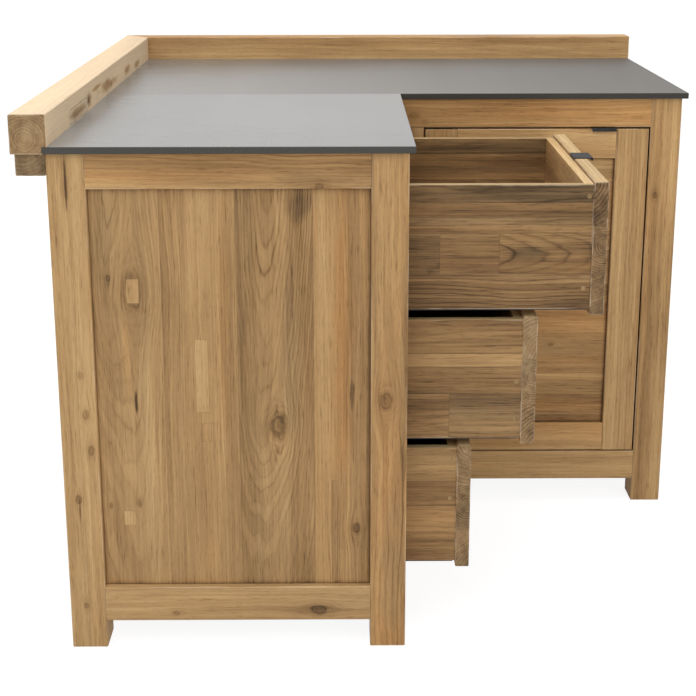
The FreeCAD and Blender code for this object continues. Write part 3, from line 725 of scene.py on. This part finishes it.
def teak(name, seed, grain, across, boards=({},), edges=(), inlays=(), knots=(), stains=(), turn=None,
         seam_shade=0.35, box=None, crown=0.0, bleach=None, jamb=None, framed=False, paired=False,
         stained=None, **fixed):
    """Teak whose grain runs along an axis, with boards that lie side by side along another.

    edges are the seams between the boards, in the carcass's millimetres; fixed is the figure of all boards.
    stained is the (axis, sign) of the faces that have the stains, crown is painted light on upward faces,
    bleach is how far the (side, top) has gone pale, and jamb is (axis, sign, share) of painted shade in the
    gap round the door.
    """
    wood = Teak(name, seed, grain, across, turn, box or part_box(name), fixed)
    wood.lay_boards(boards, edges)
    for inlay in inlays:
        wood.let_in(inlay)
    for knot in knots:
        wood.add_knot(knot)
    if stains:
        wood.add_stains(stains, stained)
    # Painted light on upward faces.
    if crown:
        wood.paint_light_on_top(crown)
    # Painted shade with dirt where a panel meets its frame.
    if framed:
        wood.paint_shade_and_dirt_in_corners()
    wood.grow(paired)
    if bleach:
        wood.bleach(*bleach)
    if wood.lines:
        wood.draw_seams_and_shadow_lines(seam_shade)
    # Wear and a painted highlight on the edges.
    wood.wear_and_highlight_arrises()
    # Painted shade in the gap round the door.
    if jamb:
        wood.paint_jamb_shade(*jamb)
    return wood.finish()


def teak_node(name, *settings, **details):
    dress(name, teak(name, *settings, **details))


# Stone

STONE_NOISE = {
    "cloud": Noise((2.2, 3.5, 2.2), 4.0, 0.55),
    "band": Noise((9.0, 0.7, 1.0), 3.0),
    "fleck": even_noise(420.0, 3.0, 0.7),
    "pits": even_noise(60.0),
}
STONE_WEIGHTS = {"cloud": 0.6, "band": 0.35, "fleck": 0.35}
STONE_GREYS = [(0.2, (0.155, 0.15, 0.143)), (0.5, (0.2, 0.195, 0.188)), (0.8, (0.25, 0.246, 0.24))]
STONE_DRIFT = (-0.5, 0.6)
PAINTED_EDGE_SHADE = (0.22, 0.205, 0.17)
TOP_FACING = (0.75, 0.98)
STONE_ROUGHNESS = 0.17
STONE_ROUGH_WEIGHTS = {"cloud": 0.12, "fleck": 0.1}


def stone(name, tint, far_shade_tint, far_rough):
    """Honed slab: cloudy grey that drifts to another tint and roughness along X, the far tint being painted
    shade, with painted shade on its edges.
    """
    material, web = new_material(name)
    texture = web.add("ShaderNodeTexCoord")
    place = texture.outputs["Object"]
    up = web.split(texture.outputs["Normal"])[2]
    noises = {kind: web.noise(place, noise) for kind, noise in STONE_NOISE.items()}
    value = MIDDLE_VALUE
    for kind, weight in STONE_WEIGHTS.items():
        value = web.swing(noises[kind], weight, value)
    # How far along X the slab has drifted into the painted shade of its far tint.
    drift = web.smooth(web.split(place)[0], *STONE_DRIFT)
    top = web.mix(1.0, web.ramp(value, STONE_GREYS), web.mix(drift, tint, far_shade_tint), "MULTIPLY")
    # Painted shade: the edges are darker than the top.
    edge = web.mix(1.0, top, PAINTED_EDGE_SHADE, "MULTIPLY")
    colour = web.mix(web.smooth(up, *TOP_FACING), edge, top)
    roughness = web.weigh(STONE_ROUGHNESS, *((noises[kind], w) for kind, w in STONE_ROUGH_WEIGHTS.items()))
    roughness = web.weigh(roughness, (drift, far_rough))
    height = web.math("ADD", noises["fleck"], noises["pits"])
    normal = web.bump(height, strength=0.12, distance=0.0004)
    surface(web, Base_Color=colour, Roughness=roughness, Normal=normal, Specular_IOR_Level=0.5)
    return material


# Sheet, steel and nylon

POWDER_BLACKS = [(0.35, (0.014, 0.014, 0.015)), (0.6, (0.024, 0.024, 0.025)), (0.8, (0.05, 0.049, 0.047))]
STEEL_GREYS = [(0.3, (0.03, 0.03, 0.031)), (0.7, (0.075, 0.075, 0.078))]
NYLON_BLACKS = [(0.3, (0.011, 0.011, 0.012)), (0.7, (0.02, 0.02, 0.021))]
ORANGE_PEEL = even_noise(900.0)
RUB = even_noise(70.0, 4.0, 0.65)
POWDER_ROUGHNESS = 0.45
RUB_ROUGHNESS = 0.25
BRUSH_LENGTHWISE = 8.0
BRUSH_ACROSS = 1500.0
BRUSH_SHARE = 0.4
STEEL_STAIN = even_noise(30.0, 4.0, 0.6)
STEEL_ROUGHNESS = 0.28
STAIN_ROUGHNESS = 0.2
BRUSH_ROUGHNESS = 0.2
MOTTLE = even_noise(120.0, 3.0, 0.6)
GRIT = even_noise(1400.0)
NYLON_ROUGHNESS = 0.38
GRIT_ROUGHNESS = 0.2


def black_sheet():
    """Bent sheet under black powder coat, rubbed a little greyer in places."""
    material, web = new_material("black_powder_coat")
    place = web.add("ShaderNodeTexCoord").outputs["Object"]
    rub = web.noise(place, RUB)
    colour = web.ramp(rub, POWDER_BLACKS)
    roughness = web.weigh(POWDER_ROUGHNESS, (rub, RUB_ROUGHNESS))
    normal = web.bump(web.noise(place, ORANGE_PEEL), strength=0.25, distance=0.0003)
    surface(web, Base_Color=colour, Roughness=roughness, Normal=normal, Specular_IOR_Level=0.25)
    return material


def brushed_steel(name, grain):
    """Dark zinc-plated steel with fine lines along its length."""
    material, web = new_material(name)
    place = web.add("ShaderNodeTexCoord").outputs["Object"]
    stretch = tuple(BRUSH_LENGTHWISE if axis == grain else BRUSH_ACROSS for axis in AXES)
    brush = web.noise(place, Noise(stretch, 3.0, 0.6))
    stain = web.noise(place, STEEL_STAIN)
    colour = web.ramp(web.weigh(0.0, (stain, 1.0 - BRUSH_SHARE), (brush, BRUSH_SHARE)), STEEL_GREYS)
    roughness = web.weigh(STEEL_ROUGHNESS, (stain, STAIN_ROUGHNESS), (brush, BRUSH_ROUGHNESS))
    normal = web.bump(brush, strength=0.15, distance=0.0002)
    surface(web, Base_Color=colour, Metallic=1.0, Roughness=roughness, Normal=normal)
    return material


def nylon():
    """Moulded roller cage: black nylon, faintly mottled."""
    material, web = new_material("moulded_nylon")
    place = web.add("ShaderNodeTexCoord").outputs["Object"]
    grit = web.noise(place, GRIT)
    colour = web.ramp(web.noise(place, MOTTLE), NYLON_BLACKS)
    roughness = web.weigh(NYLON_ROUGHNESS, (grit, GRIT_ROUGHNESS))
    normal = web.bump(grit, strength=0.15, distance=0.0003)
    surface(web, Base_Color=colour, Roughness=roughness, Normal=normal, Specular_IOR_Level=0.45)
    return material


# Worktop, pulls and running gear

BLACK = black_sheet()
STEEL = brushed_steel("runner_steel_x", "x")
NYLON = nylon()

# The rear slab's darker tint, darkening further along X, is painted shade and reflection of the upstands.
dress("worktop_left", stone("honed_stone_left", (0.88, 0.88, 0.88), (0.86, 0.86, 0.85), far_rough=0.03))
dress("worktop_rear", stone("honed_stone_rear", (0.74, 0.71, 0.68), (0.48, 0.45, 0.41), far_rough=0.3))
dress("runner_channels", STEEL)
dress("pivot_pins", brushed_steel("pin_steel_z", "z"))
dress("door_pull", BLACK)
for level in LEVELS:
    dress(f"drawer_{level}_pull", BLACK)
    dress(f"drawer_{level}_slides", STEEL)
    dress(f"drawer_{level}_cage", NYLON)


# Plain pieces

PLAIN_TEAK = {
    "post_corner": (3, "z", "x"),
    "post_right_rear": (5, "z", "x"),
    "post_rear_left": (6, "z", "x"),
    "post_left_middle": (7, "z", "x"),
    "post_rear_middle": (8, "z", "x"),
    "rail_drawer_top": (15, "y", "z"),
    "rail_drawer_bottom": (16, "y", "z"),
    "shelf_bearers": (23, "y", "x"),
}
BOARDED_TEAK = {
    "panel_divider": (22, "z", "y"),
    "shelf": (24, "x", "y"),
    "cupboard_floor": (25, "x", "y"),
}
INNER_SEAMS = (740, 860, 990, 1100)
for name, settings in PLAIN_TEAK.items():
    teak_node(name, *settings)
for name, settings in BOARDED_TEAK.items():
    teak_node(name, *settings, edges=INNER_SEAMS, boards=[{}] * (len(INNER_SEAMS) + 1))
teak_node("runner_bearers", 29, "x", "z", tone=-0.05)


# Posts and stiles

teak_node(
    "post_near_left", 1, "z", "x",
    tone=0.09, warm=0.0, ring=0.008, pith_x=0.09, pith_y=0.05, lean_x=0.02, figure=0.16,
    boards=[{}, dict(tone=0.11)], edges=[33], seam_shade=0.2,
    knots=[
        Knot(25, 289, 5, 1.0), Knot(45, 449, 5, 0.8), Knot(52, 381, 5, 0.8),
        Knot(39, 520, 4, 0.7), Knot(28, 83, 4, 0.9),
    ],
    stains=[
        Stain(28, 850, 7, 62, -0.18, -0.1), Stain(31, 842, 2.2, 66, -0.45, 0.0),
        Stain(26, 266, 1.6, 26, -0.4, 0.0), Stain(44, 400, 10, 60, -0.05, -0.1),
    ],
)
teak_node(
    "post_near_right", 2, "z", "x",
    tone=-0.01, warm=0.35, ring=0.007, pith_x=0.07, pith_y=0.06, lean_x=0.04, wander=0.04,
    knots=[Knot(564, 472, 10, 0.8)],
    stains=[Stain(575, 150, 20, 120, -0.05, -0.4), Stain(595, 560, 8, 220, -0.1, -0.3)],
)
teak_node(
    "post_right_front", 4, "z", "x",
    tone=0.0, warm=0.15, ring=0.007, figure=0.16,
    # painted shade on the jamb face beside the door
    knots=[Knot(1150, 700, 4, 0.7)], jamb=("x", -1.0, 0.06),
)
teak_node("stile_drawer_bay", 9, "z", "y", tone=-0.05)
teak_node("stile_door", 10, "z", "x", tone=-0.01, warm=0.25)


# Rails

RIGHT_END_RAIL = Turn(1.0, 0.0, 0.5, "y", "z")
LEFT_SIDE_RAIL = Turn(-1.0, 0.0, 0.53, "y", "z")
teak_node(
    "rails_end_top", 11, "x", "z", turn=RIGHT_END_RAIL,
    tone=-0.055, warm=0.15, pith_x=0.8, pith_y=-0.63, lean_x=0.03, ring=0.0065, wander=0.045,
    knots=[Knot(850, 450, 5, 0.7)], stains=[Stain(855, 430, 18, 50, -0.1, -0.3)],
)
teak_node(
    "rails_end_bottom", 12, "x", "z", turn=RIGHT_END_RAIL,
    tone=0.055, warm=0.0, pith_x=0.2, pith_y=-0.63, ring=0.008, figure=0.18,
    knots=[Knot(73, 446, 8, 1.0), Knot(67, 189, 4, 0.8)], stains=[Stain(74, 455, 12, 40, -0.08, -0.1)],
)
teak_node("rails_outer_top", 13, "x", "z", turn=LEFT_SIDE_RAIL, pith_x=0.75, pith_y=0.5)
teak_node("rails_outer_bottom", 14, "x", "z", turn=LEFT_SIDE_RAIL, pith_x=0.2, pith_y=0.5)
teak_node(
    "rail_door_top", 17, "x", "z",
    tone=0.0, warm=0.4, pith_x=0.09, pith_y=0.04, knots=[Knot(872, 640, 6, 0.45), Knot(858, 662, 4, 0.4)],
)
teak_node("rail_door_bottom", 18, "x", "z", tone=0.035, warm=-0.15)


# Panels

teak_node(
    "panel_near", 19, "z", "x", edges=[181, 309, 439], seam_shade=0.2, framed=True, streak=0.7,
    boards=[
        dict(tone=0.045, warm=0.0, pith_x=-0.01, pith_y=0.05, lean_y=0.07, wander=0.05, ring=0.0045,
             figure=0.3),
        dict(tone=-0.05, warm=-0.05, pith_x=0.22, pith_y=0.05, ring=0.0045),
        dict(tone=-0.105, warm=-0.35, pith_x=-0.022, pith_y=0.045, lean_y=0.09, wander=0.045, ring=0.0045,
             figure=0.34),
        dict(tone=-0.03, warm=0.25, pith_x=0.2, pith_y=0.05, lean_x=0.03, ring=0.0055),
    ],
    inlays=[
        Inlay(121.5, 143, 645, 688, dict(tone=0.14, warm=0.1, figure=0.12)),
        Inlay(235, 257, 447, 580, dict(tone=0.03, warm=0.0, figure=0.05)),
        Inlay(245, 263, 393, 426, dict(tone=0.04, warm=0.05, figure=0.1)),
        Inlay(101, 122, 234, 261, dict(tone=0.12, warm=0.05, figure=0.1)),
        Inlay(469, 479, 118, 318, dict(tone=-0.1, warm=0.1, figure=0.05)),
    ],
    knots=[
        Knot(132, 664, 20, 0.55), Knot(377, 420, 13, 1.1), Knot(512, 226, 7, 0.9),
        Knot(79, 271, 4, 0.7), Knot(129, 275, 4, 0.7), Knot(92, 690, 4, 0.8),
    ],
    stains=[
        Stain(416, 816, 20, 30, -0.17, -0.5), Stain(118, 560, 7, 90, 0.08, 0.5),
        Stain(131, 461, 3, 24, -0.5, -0.1), Stain(490, 560, 20, 260, 0.0, 0.25),
        # Stain(536, ...) is a dark strip along the right post, partly painted shade.
        Stain(452, 640, 12, 240, 0.06, -0.3), Stain(536, 500, 7, 380, -0.1, -0.4),
        Stain(80, 760, 22, 90, -0.05, -0.2), Stain(240, 640, 26, 200, 0.04, -0.1),
        Stain(290, 600, 12, 250, -0.05, 0.2), Stain(350, 640, 30, 160, 0.03, 0.2),
        Stain(400, 560, 16, 160, -0.05, -0.3), Stain(505, 480, 4, 30, -0.2, -0.4),
        Stain(384, 392, 26, 30, 0.05, 0.25),
    ],
)
teak_node("panel_right", 20, "z", "y", edges=[780, 900, 1030], boards=[{}] * 4, seam_shade=0.2, framed=True)
teak_node(
    "panels_outer", 21, "z", "x", turn=Turn(-1.0, 0.0, 0.53, "z", "y"), pith_y=0.6, seam_shade=0.2,
    edges=[185, 300, 425, 545, 690, 805, 930, 1060], boards=[{}] * 9,
)


# Upstand

teak_node(
    "upstand_left", 26, "y", "z", seam_shade=0.7, stained=("x", 1.0), bleach=(0.5, 0.44),
    tone=0.075, warm=-0.05, pith_x=-0.014, pith_y=-0.012, ring=0.005, lean_x=0.01, lean_y=0.01,
    wander=0.012, figure=0.22,
    inlays=[Inlay(921, 947, 192, 360, dict(tone=-0.06, warm=-0.2, figure=0.3))],
    knots=[
        Knot(938, 372, 5, 1.4), Knot(946, 300, 3, 1.2), Knot(931, 640, 4, 1.3), Knot(941, 1010, 4, 1.2),
    ],
    stains=[
        Stain(934, 285, 10, 80, -0.12, -0.3), Stain(938, 385, 15, 26, -0.25, -0.2),
        Stain(938, 600, 10, 120, -0.18, -0.3), Stain(950, 470, 5, 50, -0.15, -0.2),
        Stain(938, 845, 10, 40, -0.2, -0.2), Stain(931, 1000, 8, 34, -0.15, -0.2),
    ],
)
teak_node("upstand_rear", 27, "x", "z", tone=-0.015, warm=0.2, pith_x=0.09, pith_y=0.05, lean_x=0.02)
teak_node(
    "wall_battens", 28, "x", "z", turn=Turn(-1.0, -1.0, 0.0, "y", "z"),
    tone=-0.06, warm=-0.7, pith_x=0.93, pith_y=-0.6,
)


# Drawers

DRAWER_SEEDS = {"bottom": 40, "middle": 50, "top": 60}
FRONT_TONES = {"bottom": -0.02, "middle": 0.03, "top": -0.17}
FRONT_SEAMS = (74, 160)
# Painted light on the drawer fronts' upward faces:
FRONT_TOP_LIGHT = 0.15
HEART = dict(pith_x=0.004, pith_y=0.006, lean_x=0.02, lean_y=0.015, ring=0.0045, wander=0.008)
DRAWER_SIDES = {
    "bottom": dict(
        edges=[242, 290], streak=0.9, motley=1.4,
        boards=[dict(tone=-0.12, warm=0.1), dict(tone=-0.17, warm=-0.1), dict(tone=-0.2, warm=-0.2)],
    ),
    "middle": dict(
        edges=[458, 509, 533], streak=0.9, motley=1.5,
        boards=[
            dict(tone=-0.22, warm=-0.5, streak=0.6), dict(tone=-0.24, warm=-0.3, streak=0.4),
            dict(tone=-0.03, warm=0.2, streak=0.5), dict(tone=-0.16, warm=0.05),
        ],
        inlays=[Inlay(374, 458, 300, 678, dict(tone=-0.19, warm=-0.25, streak=0.6))],
    ),
    "top": dict(
        edges=[680, 752, 767, 781, 806], streak=1.3, motley=2.6,
        boards=[
            dict(tone=-0.29, warm=-0.15, pith_y=-0.2, lean_y=-0.05, wander=0.05, figure=0.36, ring=0.007,
                 streak=0.8),
            dict(tone=-0.24, warm=-0.5, streak=0.5), dict(tone=-0.25, warm=0.15),
            dict(tone=-0.27, warm=-0.5, streak=0.5), dict(tone=-0.26, warm=0.1), dict(tone=-0.34, warm=-0.5),
        ],
        inlays=[
            Inlay(680, 752, 657, 760, dict(tone=-0.25, warm=-0.3, streak=0.5)),
            Inlay(680, 752, 760, 950, dict(tone=-0.25, warm=-0.2, lean_y=0.14, pith_x=0.0, pith_y=-0.262,
                                           figure=0.45, ring=0.0065, wander=0.012, streak=0.6)),
        ],
        stains=[Stain(718, 808, 11, 24, -0.1, -0.6)],
    ),
}


def dress_drawer(level):
    """The front, sides, ends and base of one drawer."""
    drawer, seed, tone = f"drawer_{level}", DRAWER_SEEDS[level], FRONT_TONES[level]
    bottom = carcass_height(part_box(f"{drawer}_front")[0][2])
    # Each crown here is painted light on the piece's upward faces.
    teak_node(
        f"{drawer}_front", seed, "y", "z",
        edges=[bottom + seam for seam in FRONT_SEAMS], boards=[{}, HEART, {}], seam_shade=0.25,
        tone=tone, warm=-0.2, ring=0.006, wander=0.025, figure=0.32, crown=FRONT_TOP_LIGHT - tone,
    )
    teak_node(
        f"{drawer}_sides", seed + 1, "x", "z",
        ring=0.006, crown=0.4, seam_shade=0.3, paired=True, **DRAWER_SIDES[level],
    )
    teak_node(f"{drawer}_ends", seed + 2, "y", "z", tone=-0.02, warm=0.1, crown=0.16)
    teak_node(f"{drawer}_base", seed + 3, "x", "y", tone=-0.02)


for level in LEVELS:
    dress_drawer(level)


# Door

# Painted shade on the stiles' top faces, in the gap under the rail above the door.
STILE_TOP_SHADE = ("z", 1.0, 0.4)
teak_node("door_stile_hinge", 70, "z", "x", tone=-0.02, warm=0.3, jamb=STILE_TOP_SHADE)
teak_node("door_stile_pull", 71, "z", "x", tone=0.03, warm=0.15, pith_x=0.12, jamb=STILE_TOP_SHADE)
teak_node("door_rails", 72, "x", "z", tone=0.16, warm=0.3)
teak_node(
    "door_panel", 73, "x", "z", edges=[202, 299, 390, 500, 610, 720], framed=True,
    boards=[
        dict(tone=-0.01, warm=0.2), dict(tone=-0.03, warm=0.1), dict(tone=-0.01, warm=0.25),
        dict(tone=0.0, warm=0.2), dict(tone=0.02, warm=0.15), dict(tone=0.04, warm=0.2),
        dict(tone=0.06, warm=0.1),
    ],
    knots=[Knot(365, 943, 4, 0.8)],
)


# Dowel plugs

PLUG_RADIUS = 0.0042
PLUG_PROUD = 0.0003
PLUG_SUNK = 0.0012
PLUG_SIDES = 24
PLUG_PROFILE = [(1.0, -PLUG_SUNK), (1.0, PLUG_PROUD * 0.3), (0.9, PLUG_PROUD * 0.8), (0.45, PLUG_PROUD)]
PLUG_PLACES = {
    "top": [(912, 817), (908, 653)],
    "middle": [(796, 481), (796, 410)],
    "bottom": [(683, 334), (683, 257)],
}
ROUND_ALL_PLUGS = (point(600, 60, 0), point(1000, 540, 900))


def plug_rings(x, z, face, outward):
    """The rings of one slightly domed wooden plug, from its sunk foot to its crown."""
    turns = [2 * math.pi * i / PLUG_SIDES for i in range(PLUG_SIDES)]
    for share, proud in PLUG_PROFILE:
        radius = PLUG_RADIUS * share
        y = face + outward * proud
        yield [(x + radius * math.cos(turn), y, z + radius * math.sin(turn)) for turn in turns]


def add_plug(shape, rings):
    """Skins one plug's rings and closes its two ends."""
    rings = [[shape.verts.new(corner) for corner in ring] for ring in rings]
    for lower, upper in zip(rings, rings[1:]):
        for i in range(PLUG_SIDES):
            j = (i + 1) % PLUG_SIDES
            shape.faces.new((lower[i], lower[j], upper[j], upper[i]))
    shape.faces.new(rings[-1])
    shape.faces.new(rings[0][::-1])


def plugs(level, places, material):
    """The wooden plugs over the dowels that join a drawer's sides to its ends."""
    low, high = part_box(f"drawer_{level}_sides")
    shape = bmesh.new()
    for face, outward in ((low[1], -1.0), (high[1], 1.0)):
        for x, z in places:
            add_plug(shape, plug_rings(coordinate("x", x), coordinate("z", z), face, outward))
    bmesh.ops.recalc_face_normals(shape, faces=shape.faces[:])
    mesh = bpy.data.meshes.new(f"drawer_{level}_plugs")
    shape.to_mesh(mesh)
    shape.free()
    mesh.materials.append(material)
    piece = bpy.data.objects.new(mesh.name, mesh)
    bpy.context.scene.collection.objects.link(piece)
    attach(piece, f"drawer_{level}")


PLUG_TEAK = teak("plug_teak", 80, "z", "x", box=ROUND_ALL_PLUGS, tone=-0.1, warm=-0.9, figure=0.1)
for level, places in PLUG_PLACES.items():
    plugs(level, places, PLUG_TEAK)


# Floor and sky

FLOOR_REACH = 14.0
FLOOR_DROP = 0.0005
FLOOR_NOISE = even_noise(40.0, 3.0)
FLOOR_GREYS = [(0.3, 0.78), (0.7, 0.8)]
FLOOR_GLOW = 0.9
FLOOR_SHADOW = 0.22
SKY_LIGHT = 0.54


def seen_directly(web):
    """One for rays from the camera, straight or by way of gloss or glass, nought for light."""
    rays = web.add("ShaderNodeLightPath").outputs
    return web.chain("MAXIMUM", *(rays[f"Is {kind} Ray"] for kind in ("Camera", "Glossy", "Transmission")))


def floor_material():
    """White studio floor: white to the eye, and it still takes the cabinet's shadow."""
    material, web = new_material("studio_floor")
    place = web.add("ShaderNodeTexCoord").outputs["Object"]
    matte = web.add("ShaderNodeBsdfDiffuse", [web.ramp(web.noise(place, FLOOR_NOISE), FLOOR_GREYS)])
    glow = web.add("ShaderNodeEmission", {"Strength": FLOOR_GLOW})
    faint = web.add("ShaderNodeBsdfDiffuse", [opaque(FLOOR_SHADOW)])
    white = web.add("ShaderNodeAddShader", [glow.outputs[0], faint.outputs[0]])
    both = web.add("ShaderNodeMixShader", [seen_directly(web), matte.outputs[0], white.outputs[0]])
    web.add("ShaderNodeOutputMaterial", [both.outputs[0]])
    return material


def floor():
    mesh = bpy.data.meshes.new("studio_floor")
    corners = [(-1, -1), (1, -1), (1, 1), (-1, 1)]
    mesh.from_pydata([(x * FLOOR_REACH, y * FLOOR_REACH, 0) for x, y in corners], [], [(0, 1, 2, 3)])
    piece = bpy.data.objects.new("studio_floor", mesh)
    bpy.context.scene.collection.objects.link(piece)
    piece.location.z = -FLOOR_DROP
    mesh.materials.append(floor_material())


def world():
    """White to the eye and to gloss, a plain grey sky as light."""
    sky = bpy.data.worlds.new("studio")
    bpy.context.scene.world = sky
    sky.use_nodes = True
    sky.node_tree.nodes.clear()
    web = Web(sky.node_tree)
    strength = web.weigh(SKY_LIGHT, (seen_directly(web), 1.0 - SKY_LIGHT))
    shown = web.add("ShaderNodeBackground", [opaque(1.0), strength])
    web.add("ShaderNodeOutputWorld", [shown.outputs[0]])


# Lamps and camera

CAMERA_PLACE = (-0.08853, -2.78654, 1.31883)
CAMERA_YAW = 0.00489
CAMERA_PITCH = -0.24807
CAMERA_ROLL = -0.00144
CAMERA_LENS = 69.219
CAMERA_SENSOR = 36.0
CAMERA_SHIFT = -0.165
CAMERA_SIGHT = 60.0


def lamp(name, place, target, size, power, mirrored=True):
    """A soft disk of light. One that isn't mirrored leaves no white patch in the stone."""
    light = bpy.data.lights.new(name, "AREA")
    light.shape = "DISK"
    light.size = size
    light.energy = power
    holder = bpy.data.objects.new(name, light)
    holder.location = place
    holder.rotation_euler = (Vector(target) - Vector(place)).to_track_quat("-Z", "Y").to_euler()
    holder.visible_glossy = mirrored
    bpy.context.scene.collection.objects.link(holder)


def camera():
    level = math.cos(CAMERA_PITCH)
    ahead = Vector((math.sin(CAMERA_YAW) * level, math.cos(CAMERA_YAW) * level, math.sin(CAMERA_PITCH)))
    right = Vector((math.cos(CAMERA_YAW), -math.sin(CAMERA_YAW), 0.0))
    up = right.cross(ahead)
    turned_right = right * math.cos(CAMERA_ROLL) + up * math.sin(CAMERA_ROLL)
    turned_up = up * math.cos(CAMERA_ROLL) - right * math.sin(CAMERA_ROLL)
    turn = Matrix((turned_right, turned_up, -ahead)).transposed()
    data = bpy.data.cameras.new("camera")
    data.sensor_width = CAMERA_SENSOR
    data.lens = CAMERA_LENS
    data.shift_y = CAMERA_SHIFT
    data.clip_end = CAMERA_SIGHT
    holder = bpy.data.objects.new("camera", data)
    holder.matrix_world = Matrix.Translation(CAMERA_PLACE) @ turn.to_4x4()
    bpy.context.scene.collection.objects.link(holder)
    bpy.context.scene.camera = holder


floor()
world()
lamp("key", place=(-1.4, -2.8, 3.2), target=(0.0, 0.0, 0.5), size=2.6, power=46.0)
lamp("overhead", place=(0.2, -0.2, 3.6), target=(0.0, 0.0, 0.6), size=2.8, power=68.0)
lamp("fill", place=(2.3, -2.8, 1.3), target=(0.4, 0.0, 0.4), size=2.2, power=30.0, mirrored=False)
lamp("back_fill", place=(-2.4, 2.6, 2.2), target=(0.0, 0.0, 0.5), size=2.4, power=40.0)
camera()
bpy.context.scene.view_settings.view_transform = "Standard"
